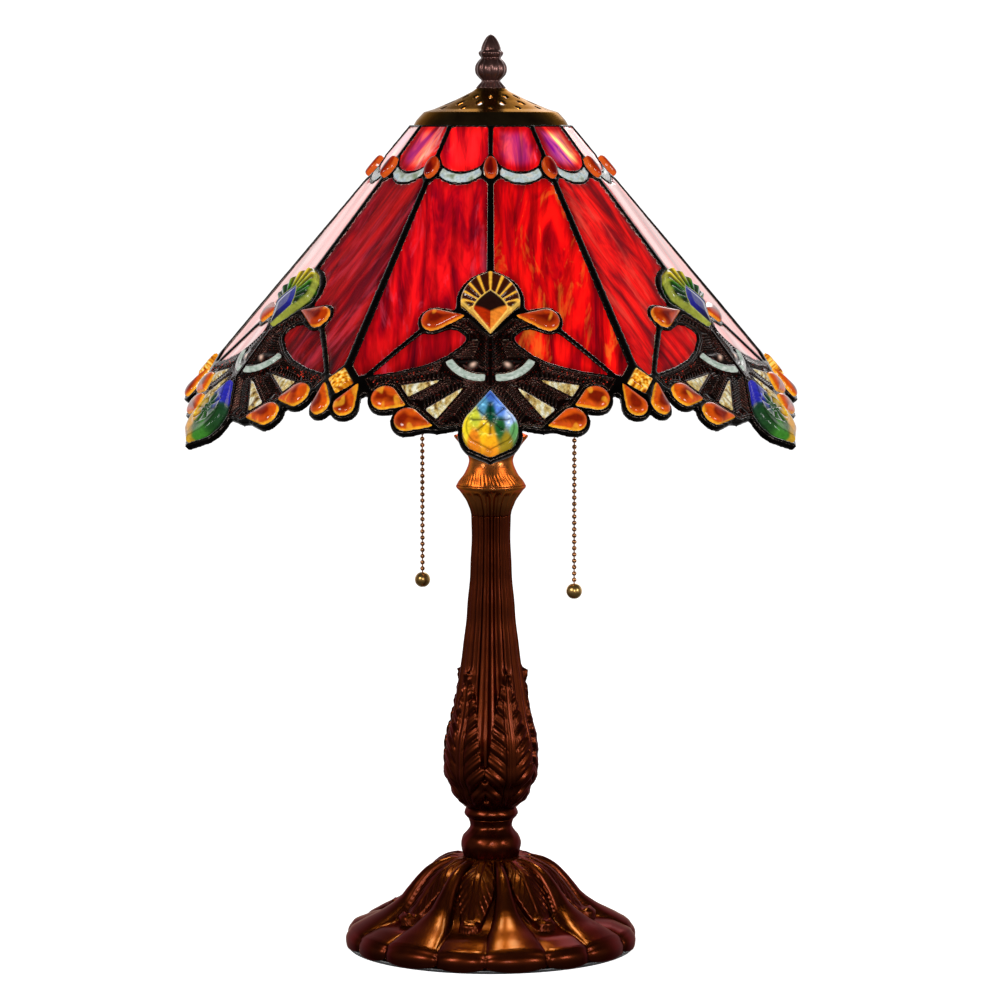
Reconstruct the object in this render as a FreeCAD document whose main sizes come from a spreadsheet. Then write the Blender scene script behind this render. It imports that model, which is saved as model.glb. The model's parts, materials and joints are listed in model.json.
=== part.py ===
"""Leaded glass table lamp: folded glass shade, two pull-chain sockets, cast stem and base.

Millimetres. +Z is up, the origin is the centre of the base where it stands, and -Y is the front.
"""
import FreeCAD, Part
import math
import os

import Sketcher
from FreeCAD import Placement, Rotation, Vector

DIMENSIONS = {
    # shade: a pyramid of flat panels folded at its seams
    "shade_apex": 611.0,
    "seam_slope": 0.8388,
    "motif_count": 6,
    "panel_count": 12,
    "glass_thickness": 3.0,
    "came_thickness": 4.4,
    "casting_thickness": 3.6,
    "drop_thickness": 6.0,
    "ridge_thickness": 7.0,
    "shade_opening": 80.5,
    # rods and castings that share the stem's axis
    "rod_radius": 4.8,
    "rod_bore": 3.2,
    "rod_foot": 4.2,
    "stem_bore": 5.3,
    "riser_radius": 3.9,
    "riser_foot": 376.5,
    "riser_head": 586.0,
    "finial_foot": 574.6,
    "finial_height": 610.0,
    "cap_radius": 50.3,
    "cap_hole_count": 12,
    "cup_foot": 311.5,
    "collar_foot": 291.0,
    "column_foot": 95.0,
    "ring_foot": 86.6,
    "baluster_foot": 61.1,
    "base_radius": 97.4,
    "base_foot": 1.5,
    "felt_radius": 96.0,
    "plate_radius": 93.2,
    "inlet_height": 8.2,
    "inlet_bore": 3.0,
    # cluster: two upright sockets beside the stem's axis
    "socket_radius": 15.9,
    "socket_offset": 33.0,
    "mouth_reach": 29.3,
    "switch_height": 402.0,
    "spool_radius": 6.0,
    "spool_teeth": 8,
    "chain_pivot": 391.0,
    "bead_radius": 1.6,
    "bead_pitch": 4.2,
    "bead_count": 34,
    "fob_radius": 5.25,
    "fob_height": 243.1,
    "bulb_radius": 24.0,
    "bulb_centre": 496.0,
    "bulb_wall": 0.8,
}

doc = FreeCAD.newDocument("LeadedGlassLamp")
sheet = doc.addObject("Spreadsheet::Sheet", "dim")
for row, (alias, size) in enumerate(DIMENSIONS.items(), start=1):
    sheet.set(f"A{row}", alias)
    sheet.set(f"B{row}", str(size))
    sheet.setAlias(f"B{row}", alias)
doc.recompute()

SUBPARTS = []


def size_of(expression):
    """The number that an expression over the sheet's aliases, or a plain number, stands for."""
    if isinstance(expression, str):
        return float(sheet.evalExpression(expression))
    return float(expression)


def new_body(label, placement=None):
    body = doc.addObject("PartDesign::Body", label)
    body.Label = label
    body.AllowCompound = True
    if placement:
        body.Placement = placement
    SUBPARTS.append(body)
    return body


def origin_feature(body, role):
    return next(item for item in body.Origin.OriginFeatures if item.Role == role)


def new_sketch(body, plane="XY_Plane", offset=None):
    sketch = body.newObject("Sketcher::SketchObject", "Outline")
    sketch.AttachmentSupport = (origin_feature(body, plane), [""])
    sketch.MapMode = "FlatFace"
    if offset:
        sketch.AttachmentOffset = offset
    return sketch


def draw(sketch, path, flip=1, fixed=False):
    """Closed outline through path. A corner is (across, up); a third item "via" makes it a
    point that an arc passes through. Corners given as expressions stay bound to the sheet."""
    corners = [item for item in path if len(item) == 2]
    points = [Vector(size_of(item[0]), flip * size_of(item[1]), 0) for item in path]
    first = path.index(corners[0])
    order = [(first + step) % len(path) for step in range(len(path) + 1)]
    edges = []
    start, via = points[order[0]], None
    for index in order[1:]:
        if len(path[index]) == 3:
            via = points[index]
            continue
        end = points[index]
        shape = Part.Arc(start, via, end) if via else Part.LineSegment(start, end)
        number = sketch.addGeometry(shape)
        forward = sketch.getPoint(number, 1).distanceToPoint(start) < 1e-6
        edges.append((number, 1 if forward else 2, 2 if forward else 1))
        start, via = end, None
    for edge, following in zip(edges, edges[1:] + edges[:1]):
        sketch.addConstraint(
            Sketcher.Constraint("Coincident", edge[0], edge[2], following[0], following[1]))
    if fixed:
        for edge, corner in zip(edges, corners):
            fix_corner(sketch, edge, corner)


def fix_corner(sketch, edge, corner):
    """Dimension one corner from the sketch's origin, bound to the sheet where it is named."""
    for kind, axis, expression in (("DistanceX", -2, corner[0]), ("DistanceY", -1, corner[1])):
        distance = size_of(expression)
        if abs(distance) < 1e-9:
            sketch.addConstraint(Sketcher.Constraint("PointOnObject", edge[0], edge[1], axis))
            continue
        number = sketch.addConstraint(
            Sketcher.Constraint(kind, -1, 1, edge[0], edge[1], distance))
        if isinstance(expression, str):
            sketch.setExpression(f"Constraints[{number}]", expression)


def circle(sketch, across, up, radius):
    """A round outline, its radius bound to the sheet where it is an expression."""
    number = sketch.addGeometry(
        Part.Circle(Vector(size_of(across), size_of(up), 0), Vector(0, 0, 1), size_of(radius)))
    limit = sketch.addConstraint(Sketcher.Constraint("Radius", number, size_of(radius)))
    if isinstance(radius, str):
        sketch.setExpression(f"Constraints[{limit}]", radius)


def sweep_straight(body, kind, sketch, length, symmetric=False, reverse=False):
    """A Pad or a Pocket of a sketch, its length bound to the sheet where it is an expression."""
    feature = body.newObject(f"PartDesign::{kind}", kind)
    feature.Profile = sketch
    feature.Length = size_of(length)
    if isinstance(length, str):
        feature.setExpression("Length", length)
    feature.SideType = "Symmetric" if symmetric else "One side"
    feature.Reversed = reverse
    return feature


def repeat_round(body, features, count, axis="Z_Axis"):
    """Repeat features in equal steps round one of the body's axes."""
    pattern = body.newObject("PartDesign::PolarPattern", "Round")
    pattern.Originals = features
    pattern.Axis = (origin_feature(body, axis), [""])
    pattern.Angle = 360
    pattern.Occurrences = int(size_of(count))
    if isinstance(count, str):
        pattern.setExpression("Occurrences", count)
    body.Tip = pattern
    return pattern


def turned(label, path, placement=None):
    """A body turned about its Z axis. Corners are (radius, height)."""
    body = new_body(label, placement)
    sketch = new_sketch(body, "XZ_Plane")
    draw(sketch, path, fixed=True)
    turn = body.newObject("PartDesign::Revolution", "Turn")
    turn.Profile = sketch
    turn.ReferenceAxis = (sketch, ["V_Axis"])
    turn.Angle = 360
    body.Tip = turn
    return body


def tube(label, inner, outer, foot, head, placement=None):
    return turned(label, [(inner, foot), (outer, foot), (outer, head), (inner, head)], placement)


# ---------------------------------------------------------------- shade geometry
# A panel lies between a motif seam and a corner seam. Its outlines are drawn flat, in
# (lateral, down) coordinates: down runs along the motif seam from the shade's apex.

SLOPE = size_of("dim.seam_slope")
SEAM_ANGLE = math.atan(SLOPE)
APEX = Vector(0, 0, size_of("dim.shade_apex"))
PANEL_STEP = math.radians(360 / size_of("dim.panel_count"))


def seam_direction(azimuth):
    """Unit vector down the seam at an azimuth measured from the front towards +X."""
    return Vector(math.sin(SEAM_ANGLE) * math.sin(azimuth),
                  -math.sin(SEAM_ANGLE) * math.cos(azimuth), -math.cos(SEAM_ANGLE))


def plane_down(down, lateral):
    """Placement of a sketch plane at the apex, its Y axis up the slope and Z outward."""
    outward = lateral.cross(down * -1)
    return Placement(APEX, Rotation(lateral, down * -1, outward, "ZXY"))


NEAR_SEAM = seam_direction(0)
FAR_SEAM = seam_direction(PANEL_STEP)
PANEL_ANGLE = NEAR_SEAM.getAngle(FAR_SEAM)
PANEL_PLANE = plane_down(NEAR_SEAM, (FAR_SEAM - NEAR_SEAM * math.cos(PANEL_ANGLE)).normalize())
MOTIF_PLANE = plane_down(NEAR_SEAM, Vector(1, 0, 0))
CORNER_PLANE = plane_down(FAR_SEAM, Vector(math.cos(PANEL_STEP), math.sin(PANEL_STEP), 0))


def near(down, inset):
    return (inset, down)


def far(down, inset):
    """A point at a distance down the corner seam and inset from it, into the panel."""
    return (down * math.sin(PANEL_ANGLE) - inset * math.cos(PANEL_ANGLE),
            down * math.cos(PANEL_ANGLE) + inset * math.sin(PANEL_ANGLE))


def middle(down):
    """A point on the line that halves the panel."""
    half = PANEL_ANGLE / 2
    return (down * math.sin(half), down * math.cos(half))


def via(point):
    return (point[0], point[1], "via")


def teardrop(tip, centre, radius, border=0.0):
    """A drop: a round end and the two tangents to it from the tip, grown by border."""
    reach = math.dist(tip, centre)
    across, down = (centre[0] - tip[0]) / reach, (centre[1] - tip[1]) / reach
    reach += 1.5 * border
    radius += border
    half = math.asin(radius / reach)
    touch = [(centre[0] + radius * (-across * math.sin(half) + side * down * math.cos(half)),
              centre[1] + radius * (-down * math.sin(half) - side * across * math.cos(half)))
             for side in (1, -1)]
    return [(centre[0] - across * reach, centre[1] - down * reach), touch[0],
            via((centre[0] + across * radius, centre[1] + down * radius)), touch[1]]


def ring_sector(centre, inner, outer, begin, end):
    """Part of a ring, its angles in degrees from straight down."""
    def at(radius, angle):
        turn = math.radians(angle)
        return (centre[0] + radius * math.sin(turn), centre[1] + radius * math.cos(turn))
    half = (begin + end) / 2
    return [at(inner, begin), via(at(inner, half)), at(inner, end),
            at(outer, end), via(at(outer, half)), at(outer, begin)]


def mirrored_path(half):
    """A symmetric outline from its right half, which starts and ends on the seam."""
    other = [(-item[0],) + tuple(item[1:]) for item in reversed(half) if item[0] > 1e-9]
    return half + other


THROUGH = 20.0
CAME_SEAM, UPPER_SEAM = 2.1, 1.6
UPPER_GLASS = [near(81.7, UPPER_SEAM), near(105.5, UPPER_SEAM), near(112.6, 6.2),
               via(middle(117.2)), far(112.6, 6.2), far(105.5, UPPER_SEAM),
               far(81.7, UPPER_SEAM)]
PEARL = [near(114.6, 6.6), via(middle(119.2)), far(114.6, 6.6),
         far(120.6, 6.2), via(middle(126.4)), near(120.6, 6.2)]
MAIN_GLASS = [near(128.5, CAME_SEAM), near(122.9, 6.4), via(middle(128.6)), far(122.9, 6.4),
              far(128.5, CAME_SEAM), (88.0, 261.1), (84.0, 270.6), (79.8, 270.1), (60.8, 253.0),
              (44.9, 239.4), via((38.0, 224.3)), (31.0, 225.4), (22.7, 228.4), (21.4, 225.0),
              via((15.3, 206.7)), near(200.6, CAME_SEAM)]
LOWER_GLASS = [(44.8, 244.0), (59.0, 255.9), (76.6, 271.4), (55.8, 270.6), (37.9, 267.6),
               (27.3, 263.2), (17.7, 256.2), (15.2, 252.9), (15.3, 249.8), (20.2, 244.3),
               (25.7, 242.4), (31.0, 243.6), via((36.6, 244.7)), (42.2, 242.8)]
CASTING = [(-0.6, 253.4), (5.6, 247.2), (13.6, 236.9), (18.0, 236.7), (25.5, 240.1),
           (18.9, 242.7), (13.4, 248.9), (13.2, 253.6), (15.9, 257.9), (26.6, 265.2),
           (37.6, 269.6), (55.8, 272.6), (79.8, 273.6), (75.2, 283.8), via((66.8, 279.7)),
           (58.2, 284.0), (51.6, 296.6), (49.8, 298.9), via((46.9, 300.3)), (44.3, 302.6),
           (34.3, 315.0), (31.5, 318.0), (20.4, 317.7), (18.3, 320.0), (13.6, 310.8),
           (1.4, 293.6), (-0.6, 291.4)]
CRESCENT = ring_sector((0, 256.2), 25.8, 30.7, 6, 66)
UPPER_WEDGE = [(31.0, 282.2), (56.3, 282.6), (51.6, 291.6)]
LOWER_WEDGE = [(16.0, 289.6), (40.6, 303.2), (33.6, 311.3)]
SIDE_DROP = ((16.0, 234.0), (36.0, 234.3), 8.0)
UPPER_DROP = ((53.1, 297.9), (66.8, 290.3), 8.6)
LOWER_DROP = ((35.9, 316.2), (52.3, 309.0), 8.3)
CORNER_DROP = ((83.5, 276.9), far(307.0, 8.3), 6.9)
DROP_BORDER = 2.4
KITE = mirrored_path([(0, 294.8), (12.4, 312.0), via((17.3, 325.5)), (12.6, 336.6),
                      (0, 344.8)])
KITE_BORDER = mirrored_path([(0, 291.0), (14.6, 310.9), via((20.1, 325.7)), (14.6, 338.8),
                             (0, 347.9)])
FAN = mirrored_path([(0, 202.6), via((11.9, 209.3)), (18.8, 225.8), (11.1, 234.2), (0, 250.2)])
DIAMOND = mirrored_path([(0, 279.4), (8.6, 289.0), (0, 298.6)])
OVAL_DOWN, OVAL_LENGTH, OVAL_WIDTH = 116.5, 16.5, 8.8
PLATE = [(-0.8, "dim.shade_opening"), far(size_of("dim.shade_opening"), -0.8), far(306.0, -0.8),
         (90.0, 288.0), (79.4, 284.5), (74.9, 290.0), (60.4, 302.6), (48.0, 316.0), (34.0, 320.4),
         (20.6, 319.7), (15.0, 326.0), (-0.8, 340.0)]


def panel_sketch(body, paths):
    sketch = new_sketch(body, offset=PANEL_PLANE)
    for path in paths:
        draw(sketch, path, flip=-1)
    return sketch


def repeat_panels(body, features):
    """Mirror features across the front seam and repeat the pair round the shade."""
    pattern = body.newObject("PartDesign::MultiTransform", "RoundShade")
    pattern.Originals = features
    mirror = body.newObject("PartDesign::Mirrored", "Mirror")
    mirror.MirrorPlane = (origin_feature(body, "YZ_Plane"), [""])
    polar = body.newObject("PartDesign::PolarPattern", "Motifs")
    polar.Axis = (origin_feature(body, "Z_Axis"), [""])
    polar.Angle = 360
    polar.setExpression("Occurrences", "dim.motif_count")
    pattern.Transformations = [mirror, polar]
    body.Tip = pattern
    return pattern


def panel_pieces(label, paths, thickness):
    """Flat pieces with the same outlines in every panel."""
    body = new_body(label)
    pads = [sweep_straight(body, "Pad", panel_sketch(body, [path]), thickness, symmetric=True)
            for path in paths]
    repeat_panels(body, pads)
    return body


def ridge_outline(body, path, plane):
    sketch = new_sketch(body, offset=plane)
    draw(sketch, path, flip=-1)
    return sketch


def oval_outline(body):
    sketch = new_sketch(body, offset=MOTIF_PLANE)
    centre = Vector(0, -OVAL_DOWN, 0)
    sketch.addGeometry(Part.Ellipse(centre + Vector(0, OVAL_LENGTH / 2, 0),
                                    centre + Vector(OVAL_WIDTH / 2, 0, 0), centre))
    return sketch


def ridge_jewels(label, sketch_in, count):
    """Jewels that sit astride a seam."""
    body = new_body(label)
    pad = sweep_straight(body, "Pad", sketch_in(body), "dim.ridge_thickness", symmetric=True)
    repeat_round(body, [pad], count)
    return body


RIDGE_JEWELS = {
    "oval_jewels": (oval_outline, "dim.panel_count"),
    "fan_jewels": (lambda body: ridge_outline(body, FAN, MOTIF_PLANE), "dim.motif_count"),
    "kite_jewels": (lambda body: ridge_outline(body, KITE, MOTIF_PLANE), "dim.motif_count"),
    "corner_diamonds": (lambda body: ridge_outline(body, DIAMOND, CORNER_PLANE),
                        "dim.motif_count"),
}


def came_lattice():
    """The soldered lead came: one folded plate with a hole for every piece of glass. Every
    panel is made before any hole, because each plate reaches a little past its seams."""
    body = new_body("came_lattice")
    grown = [[teardrop(*drop, border=DROP_BORDER)]
             for drop in (UPPER_DROP, LOWER_DROP, CORNER_DROP)]
    outlines = [[PLATE]] + grown + [[KITE_BORDER[:5] + [(-0.8, 347.9), (-0.8, 291.0)]]]
    pads = [sweep_straight(body, "Pad", panel_sketch(body, paths), "dim.came_thickness",
                           symmetric=True) for paths in outlines]
    repeat_panels(body, pads)
    holes = [UPPER_GLASS, PEARL, MAIN_GLASS, LOWER_GLASS, CASTING, teardrop(*SIDE_DROP),
             teardrop(*UPPER_DROP), teardrop(*LOWER_DROP), teardrop(*CORNER_DROP)]
    pocket = sweep_straight(body, "Pocket", panel_sketch(body, holes), THROUGH, symmetric=True)
    repeat_panels(body, [pocket])
    for outline_in, count in RIDGE_JEWELS.values():
        cut = sweep_straight(body, "Pocket", outline_in(body), THROUGH, symmetric=True)
        repeat_round(body, [cut], count)
    return body


def filigree_castings():
    """A pierced casting behind each motif, folded at the seam."""
    body = new_body("filigree_castings")
    pad = sweep_straight(body, "Pad", panel_sketch(body, [CASTING]), "dim.casting_thickness",
                         symmetric=True)
    windows = panel_sketch(body, [CRESCENT, UPPER_WEDGE, LOWER_WEDGE])
    pocket = sweep_straight(body, "Pocket", windows, THROUGH, symmetric=True)
    repeat_panels(body, [pad, pocket])
    return body


def build_shade():
    came_lattice()
    filigree_castings()
    panel_pieces("upper_glass_panels", [UPPER_GLASS], "dim.glass_thickness")
    panel_pieces("main_glass_panels", [MAIN_GLASS], "dim.glass_thickness")
    panel_pieces("lower_glass_panels", [LOWER_GLASS], "dim.glass_thickness")
    panel_pieces("pearl_segments", [PEARL], "dim.glass_thickness")
    panel_pieces("crescent_segments", [CRESCENT], "dim.drop_thickness")
    panel_pieces("ripple_wedges", [UPPER_WEDGE, LOWER_WEDGE], "dim.drop_thickness")
    panel_pieces("side_teardrops", [teardrop(*SIDE_DROP)], "dim.drop_thickness")
    panel_pieces("rim_teardrops", [teardrop(*UPPER_DROP), teardrop(*LOWER_DROP)],
                 "dim.drop_thickness")
    panel_pieces("corner_teardrops", [teardrop(*CORNER_DROP)], "dim.drop_thickness")
    for label, (outline_in, count) in RIDGE_JEWELS.items():
        ridge_jewels(label, outline_in, count)
    vented_cap()
    turned("shade_top_ring", [(45.2, 546.6), (46.3, 546.6), (46.3, 549.6), (49.6, 549.6),
                              (49.6, 550.6), (45.2, 550.6)])


def vented_cap():
    """The pierced metal cap that lets the bulbs' heat out."""
    body = turned("vented_cap", [
        (4.2, 572.9), (9.2, 572.9), (11.5, 571.1), (23.2, 565.2), (37.3, 559.3), (43.6, 557.3),
        (47.0, 554.2), (48.9, 550.8), ("dim.cap_radius", 550.8), (48.3, 554.9), (44.3, 558.8),
        (37.7, 560.8), (23.8, 566.7), (11.9, 572.6), (9.6, 574.5), (4.2, 574.5)])
    for radius, length, turn in ((19.0, 5.0, 0.0), (28.0, 6.5, 15.0), (35.5, 4.5, 0.0)):
        place = Placement(Vector(0, 0, 0), Rotation(Vector(0, 0, 1), turn))
        sketch = new_sketch(body, offset=place)
        sketch.addGeometry(Part.Ellipse(Vector(radius + length / 2, 0, 0),
                                        Vector(radius, length / 4, 0), Vector(radius, 0, 0)))
        cut = sweep_straight(body, "Pocket", sketch, 600, reverse=True)
        repeat_round(body, [cut], "dim.cap_hole_count")


# ---------------------------------------------------------------- stem and base
def build_finial():
    turned("finial", [
        (3.98, "dim.finial_foot"), (9.6, "dim.finial_foot"), (8.3, 576.0), (6.2, 579.3),
        (10.2, 587.0, "via"), (6.6, 594.6), (7.9, 598.0, "via"), (5.6, 603.0),
        (0, "dim.finial_height"), (0, 587.5), (3.98, 587.5)])


def hexagon_nut(label, across_flats, hole, foot, height):
    body = new_body(label)
    sketch = new_sketch(body, offset=Placement(Vector(0, 0, foot), Rotation()))
    corner = across_flats / math.sqrt(3)
    turns = [math.radians(60 * step) for step in range(6)]
    draw(sketch, [(corner * math.cos(turn), corner * math.sin(turn)) for turn in turns])
    circle(sketch, 0, 0, hole)
    body.Tip = sweep_straight(body, "Pad", sketch, height)


def build_stem():
    tube("stem_rod", "dim.rod_bore", "dim.rod_radius", "dim.rod_foot", 376.0)
    tube("riser_rod", 0, "dim.riser_radius", "dim.riser_foot", "dim.riser_head")
    hexagon_nut("shade_seat_nut", 13.0, 3.98, 567.0, 4.7)
    tube("shade_seat_washer", 4.1, 8.5, 571.8, 572.8)
    turned("stem_cup", [
        ("dim.stem_bore", "dim.cup_foot"), (22.8, "dim.cup_foot"), (18.3, 317.8),
        (14.6, 327.8, "via"), (18.3, 334.5), (21.8, 341.2), (24.5, 344.5), (23.0, 344.5),
        (20.0, 341.5), ("dim.stem_bore", 341.5)])
    turned("collar", [
        ("dim.stem_bore", "dim.collar_foot"), (13.0, "dim.collar_foot"), (13.7, 294.3),
        (16.4, 301.0), (21.4, 307.7), (23.4, 311.0), (22.8, 311.4), ("dim.stem_bore", 311.4)])
    turned("column", [
        ("dim.stem_bore", "dim.column_foot"), (18.1, "dim.column_foot"), (23.5, 102.0),
        (26.2, 109.0), (30.6, 124.0, "via"), (29.5, 143.0), (24.1, 166.0), (18.1, 207.0),
        (14.0, 247.0), (12.7, 274.0), (13.0, 290.9), ("dim.stem_bore", 290.9),
        ("dim.stem_bore", 286.0), (9.2, 274.0), (10.3, 247.0), (14.3, 207.0), (20.4, 166.0),
        (25.6, 143.0), (26.6, 124.0, "via"), (22.0, 109.0), ("dim.stem_bore", 101.0)])
    turned("base_ring", [
        ("dim.stem_bore", "dim.ring_foot"), (15.6, "dim.ring_foot"), (18.0, 90.6, "via"),
        (15.8, 94.9), ("dim.stem_bore", 94.9)])
    turned("baluster", [
        ("dim.stem_bore", "dim.baluster_foot"), (18.6, "dim.baluster_foot"),
        (20.4, 68.5, "via"), (18.8, 74.7), (16.1, 78.0), (14.1, 81.5), (14.8, 85.0),
        (15.4, 86.5), ("dim.stem_bore", 86.5)])


def build_base():
    casting = turned("base_casting", [
        ("dim.stem_bore", 56.5), (28.5, 53.5), (38.5, 47.2), (44.5, 41.0), (50.0, 34.0),
        (55.6, 26.4), (66.5, 19.4), (81.8, 12.6), (91.5, 7.4), (93.8, "dim.base_foot"),
        ("dim.base_radius", "dim.base_foot"), ("dim.base_radius", 7.5), (95.2, 11.3),
        (83.6, 16.8), (68.7, 23.6), (58.6, 30.4), (47.8, 44.0), (41.4, 50.9), (30.0, 57.7),
        (22.0, 61.0), ("dim.stem_bore", 61.0)])
    inlet = new_sketch(casting, "XZ_Plane")
    circle(inlet, 0, "dim.inlet_height", 4.5)
    casting.Tip = sweep_straight(casting, "Pocket", inlet, 120)
    cord_bushing()
    turned("base_weight", [
        ("dim.stem_bore", 12.0), (62.0, 12.0), (62.0, 18.0), (49.0, 30.0), (38.0, 43.0),
        (24.0, 50.0), ("dim.stem_bore", 56.4)])
    tube("lock_washer", 4.9, 11.0, 10.4, 11.9)
    hexagon_nut("rod_nut", 17.0, 4.9, 5.5, 4.8)
    tube("bottom_plate", 0, "dim.plate_radius", 1.6, 3.0)
    tube("felt_pad", 0, "dim.felt_radius", 0, 1.4)


def cord_bushing():
    """The flanged sleeve that lines the cord's hole at the back of the base."""
    bushing = new_body("cord_bushing")
    begin, flange, end = 88.0, 97.5, 99.2
    for start, radius in ((begin, 4.4), (flange, 5.8)):
        ring = new_sketch(bushing, "XZ_Plane", Placement(Vector(0, 0, -start), Rotation()))
        circle(ring, 0, "dim.inlet_height", radius)
        circle(ring, 0, "dim.inlet_height", "dim.inlet_bore")
        bushing.Tip = sweep_straight(bushing, "Pad", ring, end - start, reverse=True)


# ---------------------------------------------------------------- socket cluster
def at_socket(direction, mouth):
    """The frame of a socket: on its own axis, X towards the mouth that its chain leaves by."""
    turn = math.radians(direction)
    reach = size_of("dim.socket_offset")
    return Placement(Vector(reach * math.cos(turn), reach * math.sin(turn), 0),
                     Rotation(Vector(0, 0, 1), mouth))


def along_x(body, start, height):
    """A sketch facing along X, with its origin on the body's X axis at a height."""
    return new_sketch(body, "YZ_Plane", Placement(Vector(0, height, start), Rotation()))


def cluster_arms(direction):
    """Two bent arms, opposite each other, that carry the sockets: one node, two solids."""
    place = Placement(Vector(0, 0, 0), Rotation(Vector(0, 0, 1), direction))
    body = new_body("cluster_arms", place)
    hub, level, reach = 14.05, 377.0, size_of("dim.socket_offset")
    run_radius, rise_radius, rise_height = 3.6, 3.55, 11.5
    run = along_x(body, hub, level)
    circle(run, 0, 0, run_radius)
    rise = new_sketch(body, offset=Placement(Vector(reach, 0, level), Rotation()))
    circle(rise, 0, 0, rise_radius)
    repeat_round(body, [sweep_straight(body, "Pad", run, reach - hub + run_radius),
                        sweep_straight(body, "Pad", rise, rise_height)], 2)


def socket_parts(number, place):
    """The fixed pieces of one socket."""
    turned(f"socket_cap_{number}", [
        (3.8, 386.0), (9.0, 386.0), (15.0, 388.6), (17.4, 391.5), (17.4, 397.5), (16.1, 397.5),
        (16.1, 392.2), (14.4, 389.8), (9.0, 387.4), (3.8, 387.4)], place)
    shell = tube(f"socket_shell_{number}", 15.3, "dim.socket_radius", 392.6, 437.0, place)
    window = along_x(shell, 0, 0)
    circle(window, 0, "dim.switch_height", 3.8)
    shell.Tip = sweep_straight(shell, "Pocket", window, 20, reverse=True)
    switch_body(number, place)
    tube(f"screw_shell_{number}", 13.0, 13.7, 418.2, 436.8, place)
    chain_guide(number, place)


def switch_body(number, place):
    """The insulating block, slotted for the spool and drilled for its axle."""
    block = tube(f"switch_body_{number}", 0, 15.1, 392.8, 418.0, place)
    slot = new_sketch(block, "XZ_Plane")
    draw(slot, [(-7.2, 394.6), (16.0, 394.6), (16.0, 409.4), (-7.2, 409.4)])
    sweep_straight(block, "Pocket", slot, 6.4, symmetric=True)
    axle = new_sketch(block, "XZ_Plane")
    circle(axle, 0, "dim.switch_height", 1.06)
    block.Tip = sweep_straight(block, "Pocket", axle, 10.4, symmetric=True)


def chain_guide(number, place):
    """The bell mouth: a short arm that turns the chain downwards."""
    body = new_body(f"chain_guide_{number}", place)
    reach = size_of("dim.mouth_reach")
    arm = along_x(body, 15.95, 0)
    circle(arm, 0, "dim.switch_height", 3.6)
    sweep_straight(body, "Pad", arm, reach - 15.95)
    bell = new_sketch(body, "XZ_Plane", Placement(Vector(reach, 0, 0), Rotation()))
    draw(bell, [(0, 406.4), (2.6, 406.4), (4.2, 404.8), (4.2, 397.2), (5.6, 394.4),
                (5.6, 393.6), (0, 393.6)])
    turn = body.newObject("PartDesign::Revolution", "Bell")
    turn.Profile = bell
    turn.ReferenceAxis = (bell, ["V_Axis"])
    turn.Angle = 360
    bore = new_sketch(body, offset=Placement(Vector(reach, 0, 393.0), Rotation()))
    circle(bore, 0, 0, 2.4)
    sweep_straight(body, "Pocket", bore, 11.8, reverse=True)
    duct = along_x(body, 15.0, 0)
    circle(duct, 0, "dim.switch_height", 1.8)
    body.Tip = sweep_straight(body, "Pocket", duct, reach - 15.0, reverse=True)


def switch_spool(number, place):
    """The toothed drum that the chain turns, on its axle."""
    body = new_body(f"switch_spool_{number}",
                    place * Placement(Vector(0, 0, size_of("dim.switch_height")), Rotation()))
    drum = new_sketch(body, "XZ_Plane")
    circle(drum, 0, 0, "dim.spool_radius")
    sweep_straight(body, "Pad", drum, 5.6, symmetric=True)
    axle = new_sketch(body, "XZ_Plane")
    circle(axle, 0, 0, 1.0)
    sweep_straight(body, "Pad", axle, 10.0, symmetric=True)
    tooth = new_sketch(body, "XZ_Plane")
    circle(tooth, "dim.spool_radius", 0, 1.3)
    cut = sweep_straight(body, "Pocket", tooth, 8, symmetric=True)
    repeat_round(body, [cut], "dim.spool_teeth", "Y_Axis")


FOB_FLAT = 4.95


def pull_chain(number, place):
    """The link in the mouth, the bead chain that hangs from it, and the ball on its end."""
    reach = Placement(Vector(size_of("dim.mouth_reach"), 0, 0), Rotation())
    turned(f"pull_link_{number}", [
        (0, 391.3), (1.6, 391.3), (1.6, 393.0), (1.0, 393.6), (1.0, 403.5), (0, 403.5)],
        place * reach)
    hang = place * reach * Placement(Vector(0, 0, size_of("dim.chain_pivot")), Rotation())
    chain = new_body(f"pull_chain_{number}", hang)
    flat = math.degrees(math.asin(FOB_FLAT / size_of("dim.fob_radius")))
    wire = new_sketch(chain)
    circle(wire, 0, 0, 0.45)
    sweep_straight(chain, "Pad", wire, size_of("dim.chain_pivot - dim.fob_height") - FOB_FLAT,
                   reverse=True)
    bead = sphere(chain, "dim.bead_radius", -1.75)
    beads = chain.newObject("PartDesign::LinearPattern", "Beads")
    beads.Originals = [bead]
    beads.Direction = (origin_feature(chain, "Z_Axis"), [""])
    beads.Reversed = True
    beads.Mode = "Spacing"
    beads.setExpression("Offset", "dim.bead_pitch")
    beads.setExpression("Occurrences", "dim.bead_count")
    chain.Tip = beads
    fob = new_body(f"ball_fob_{number}", place * reach)
    fob.Tip = sphere(fob, "dim.fob_radius", size_of("dim.fob_height"))
    fob.Tip.Angle1, fob.Tip.Angle2 = -flat, flat


def sphere(body, radius, height):
    """A ball on the body's axis, its radius bound to the sheet."""
    ball = body.newObject("PartDesign::AdditiveSphere", "Ball")
    ball.AttachmentSupport = (origin_feature(body, "XY_Plane"), [""])
    ball.MapMode = "FlatFace"
    ball.AttachmentOffset = Placement(Vector(0, 0, height), Rotation())
    ball.setExpression("Radius", radius)
    return ball


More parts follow.
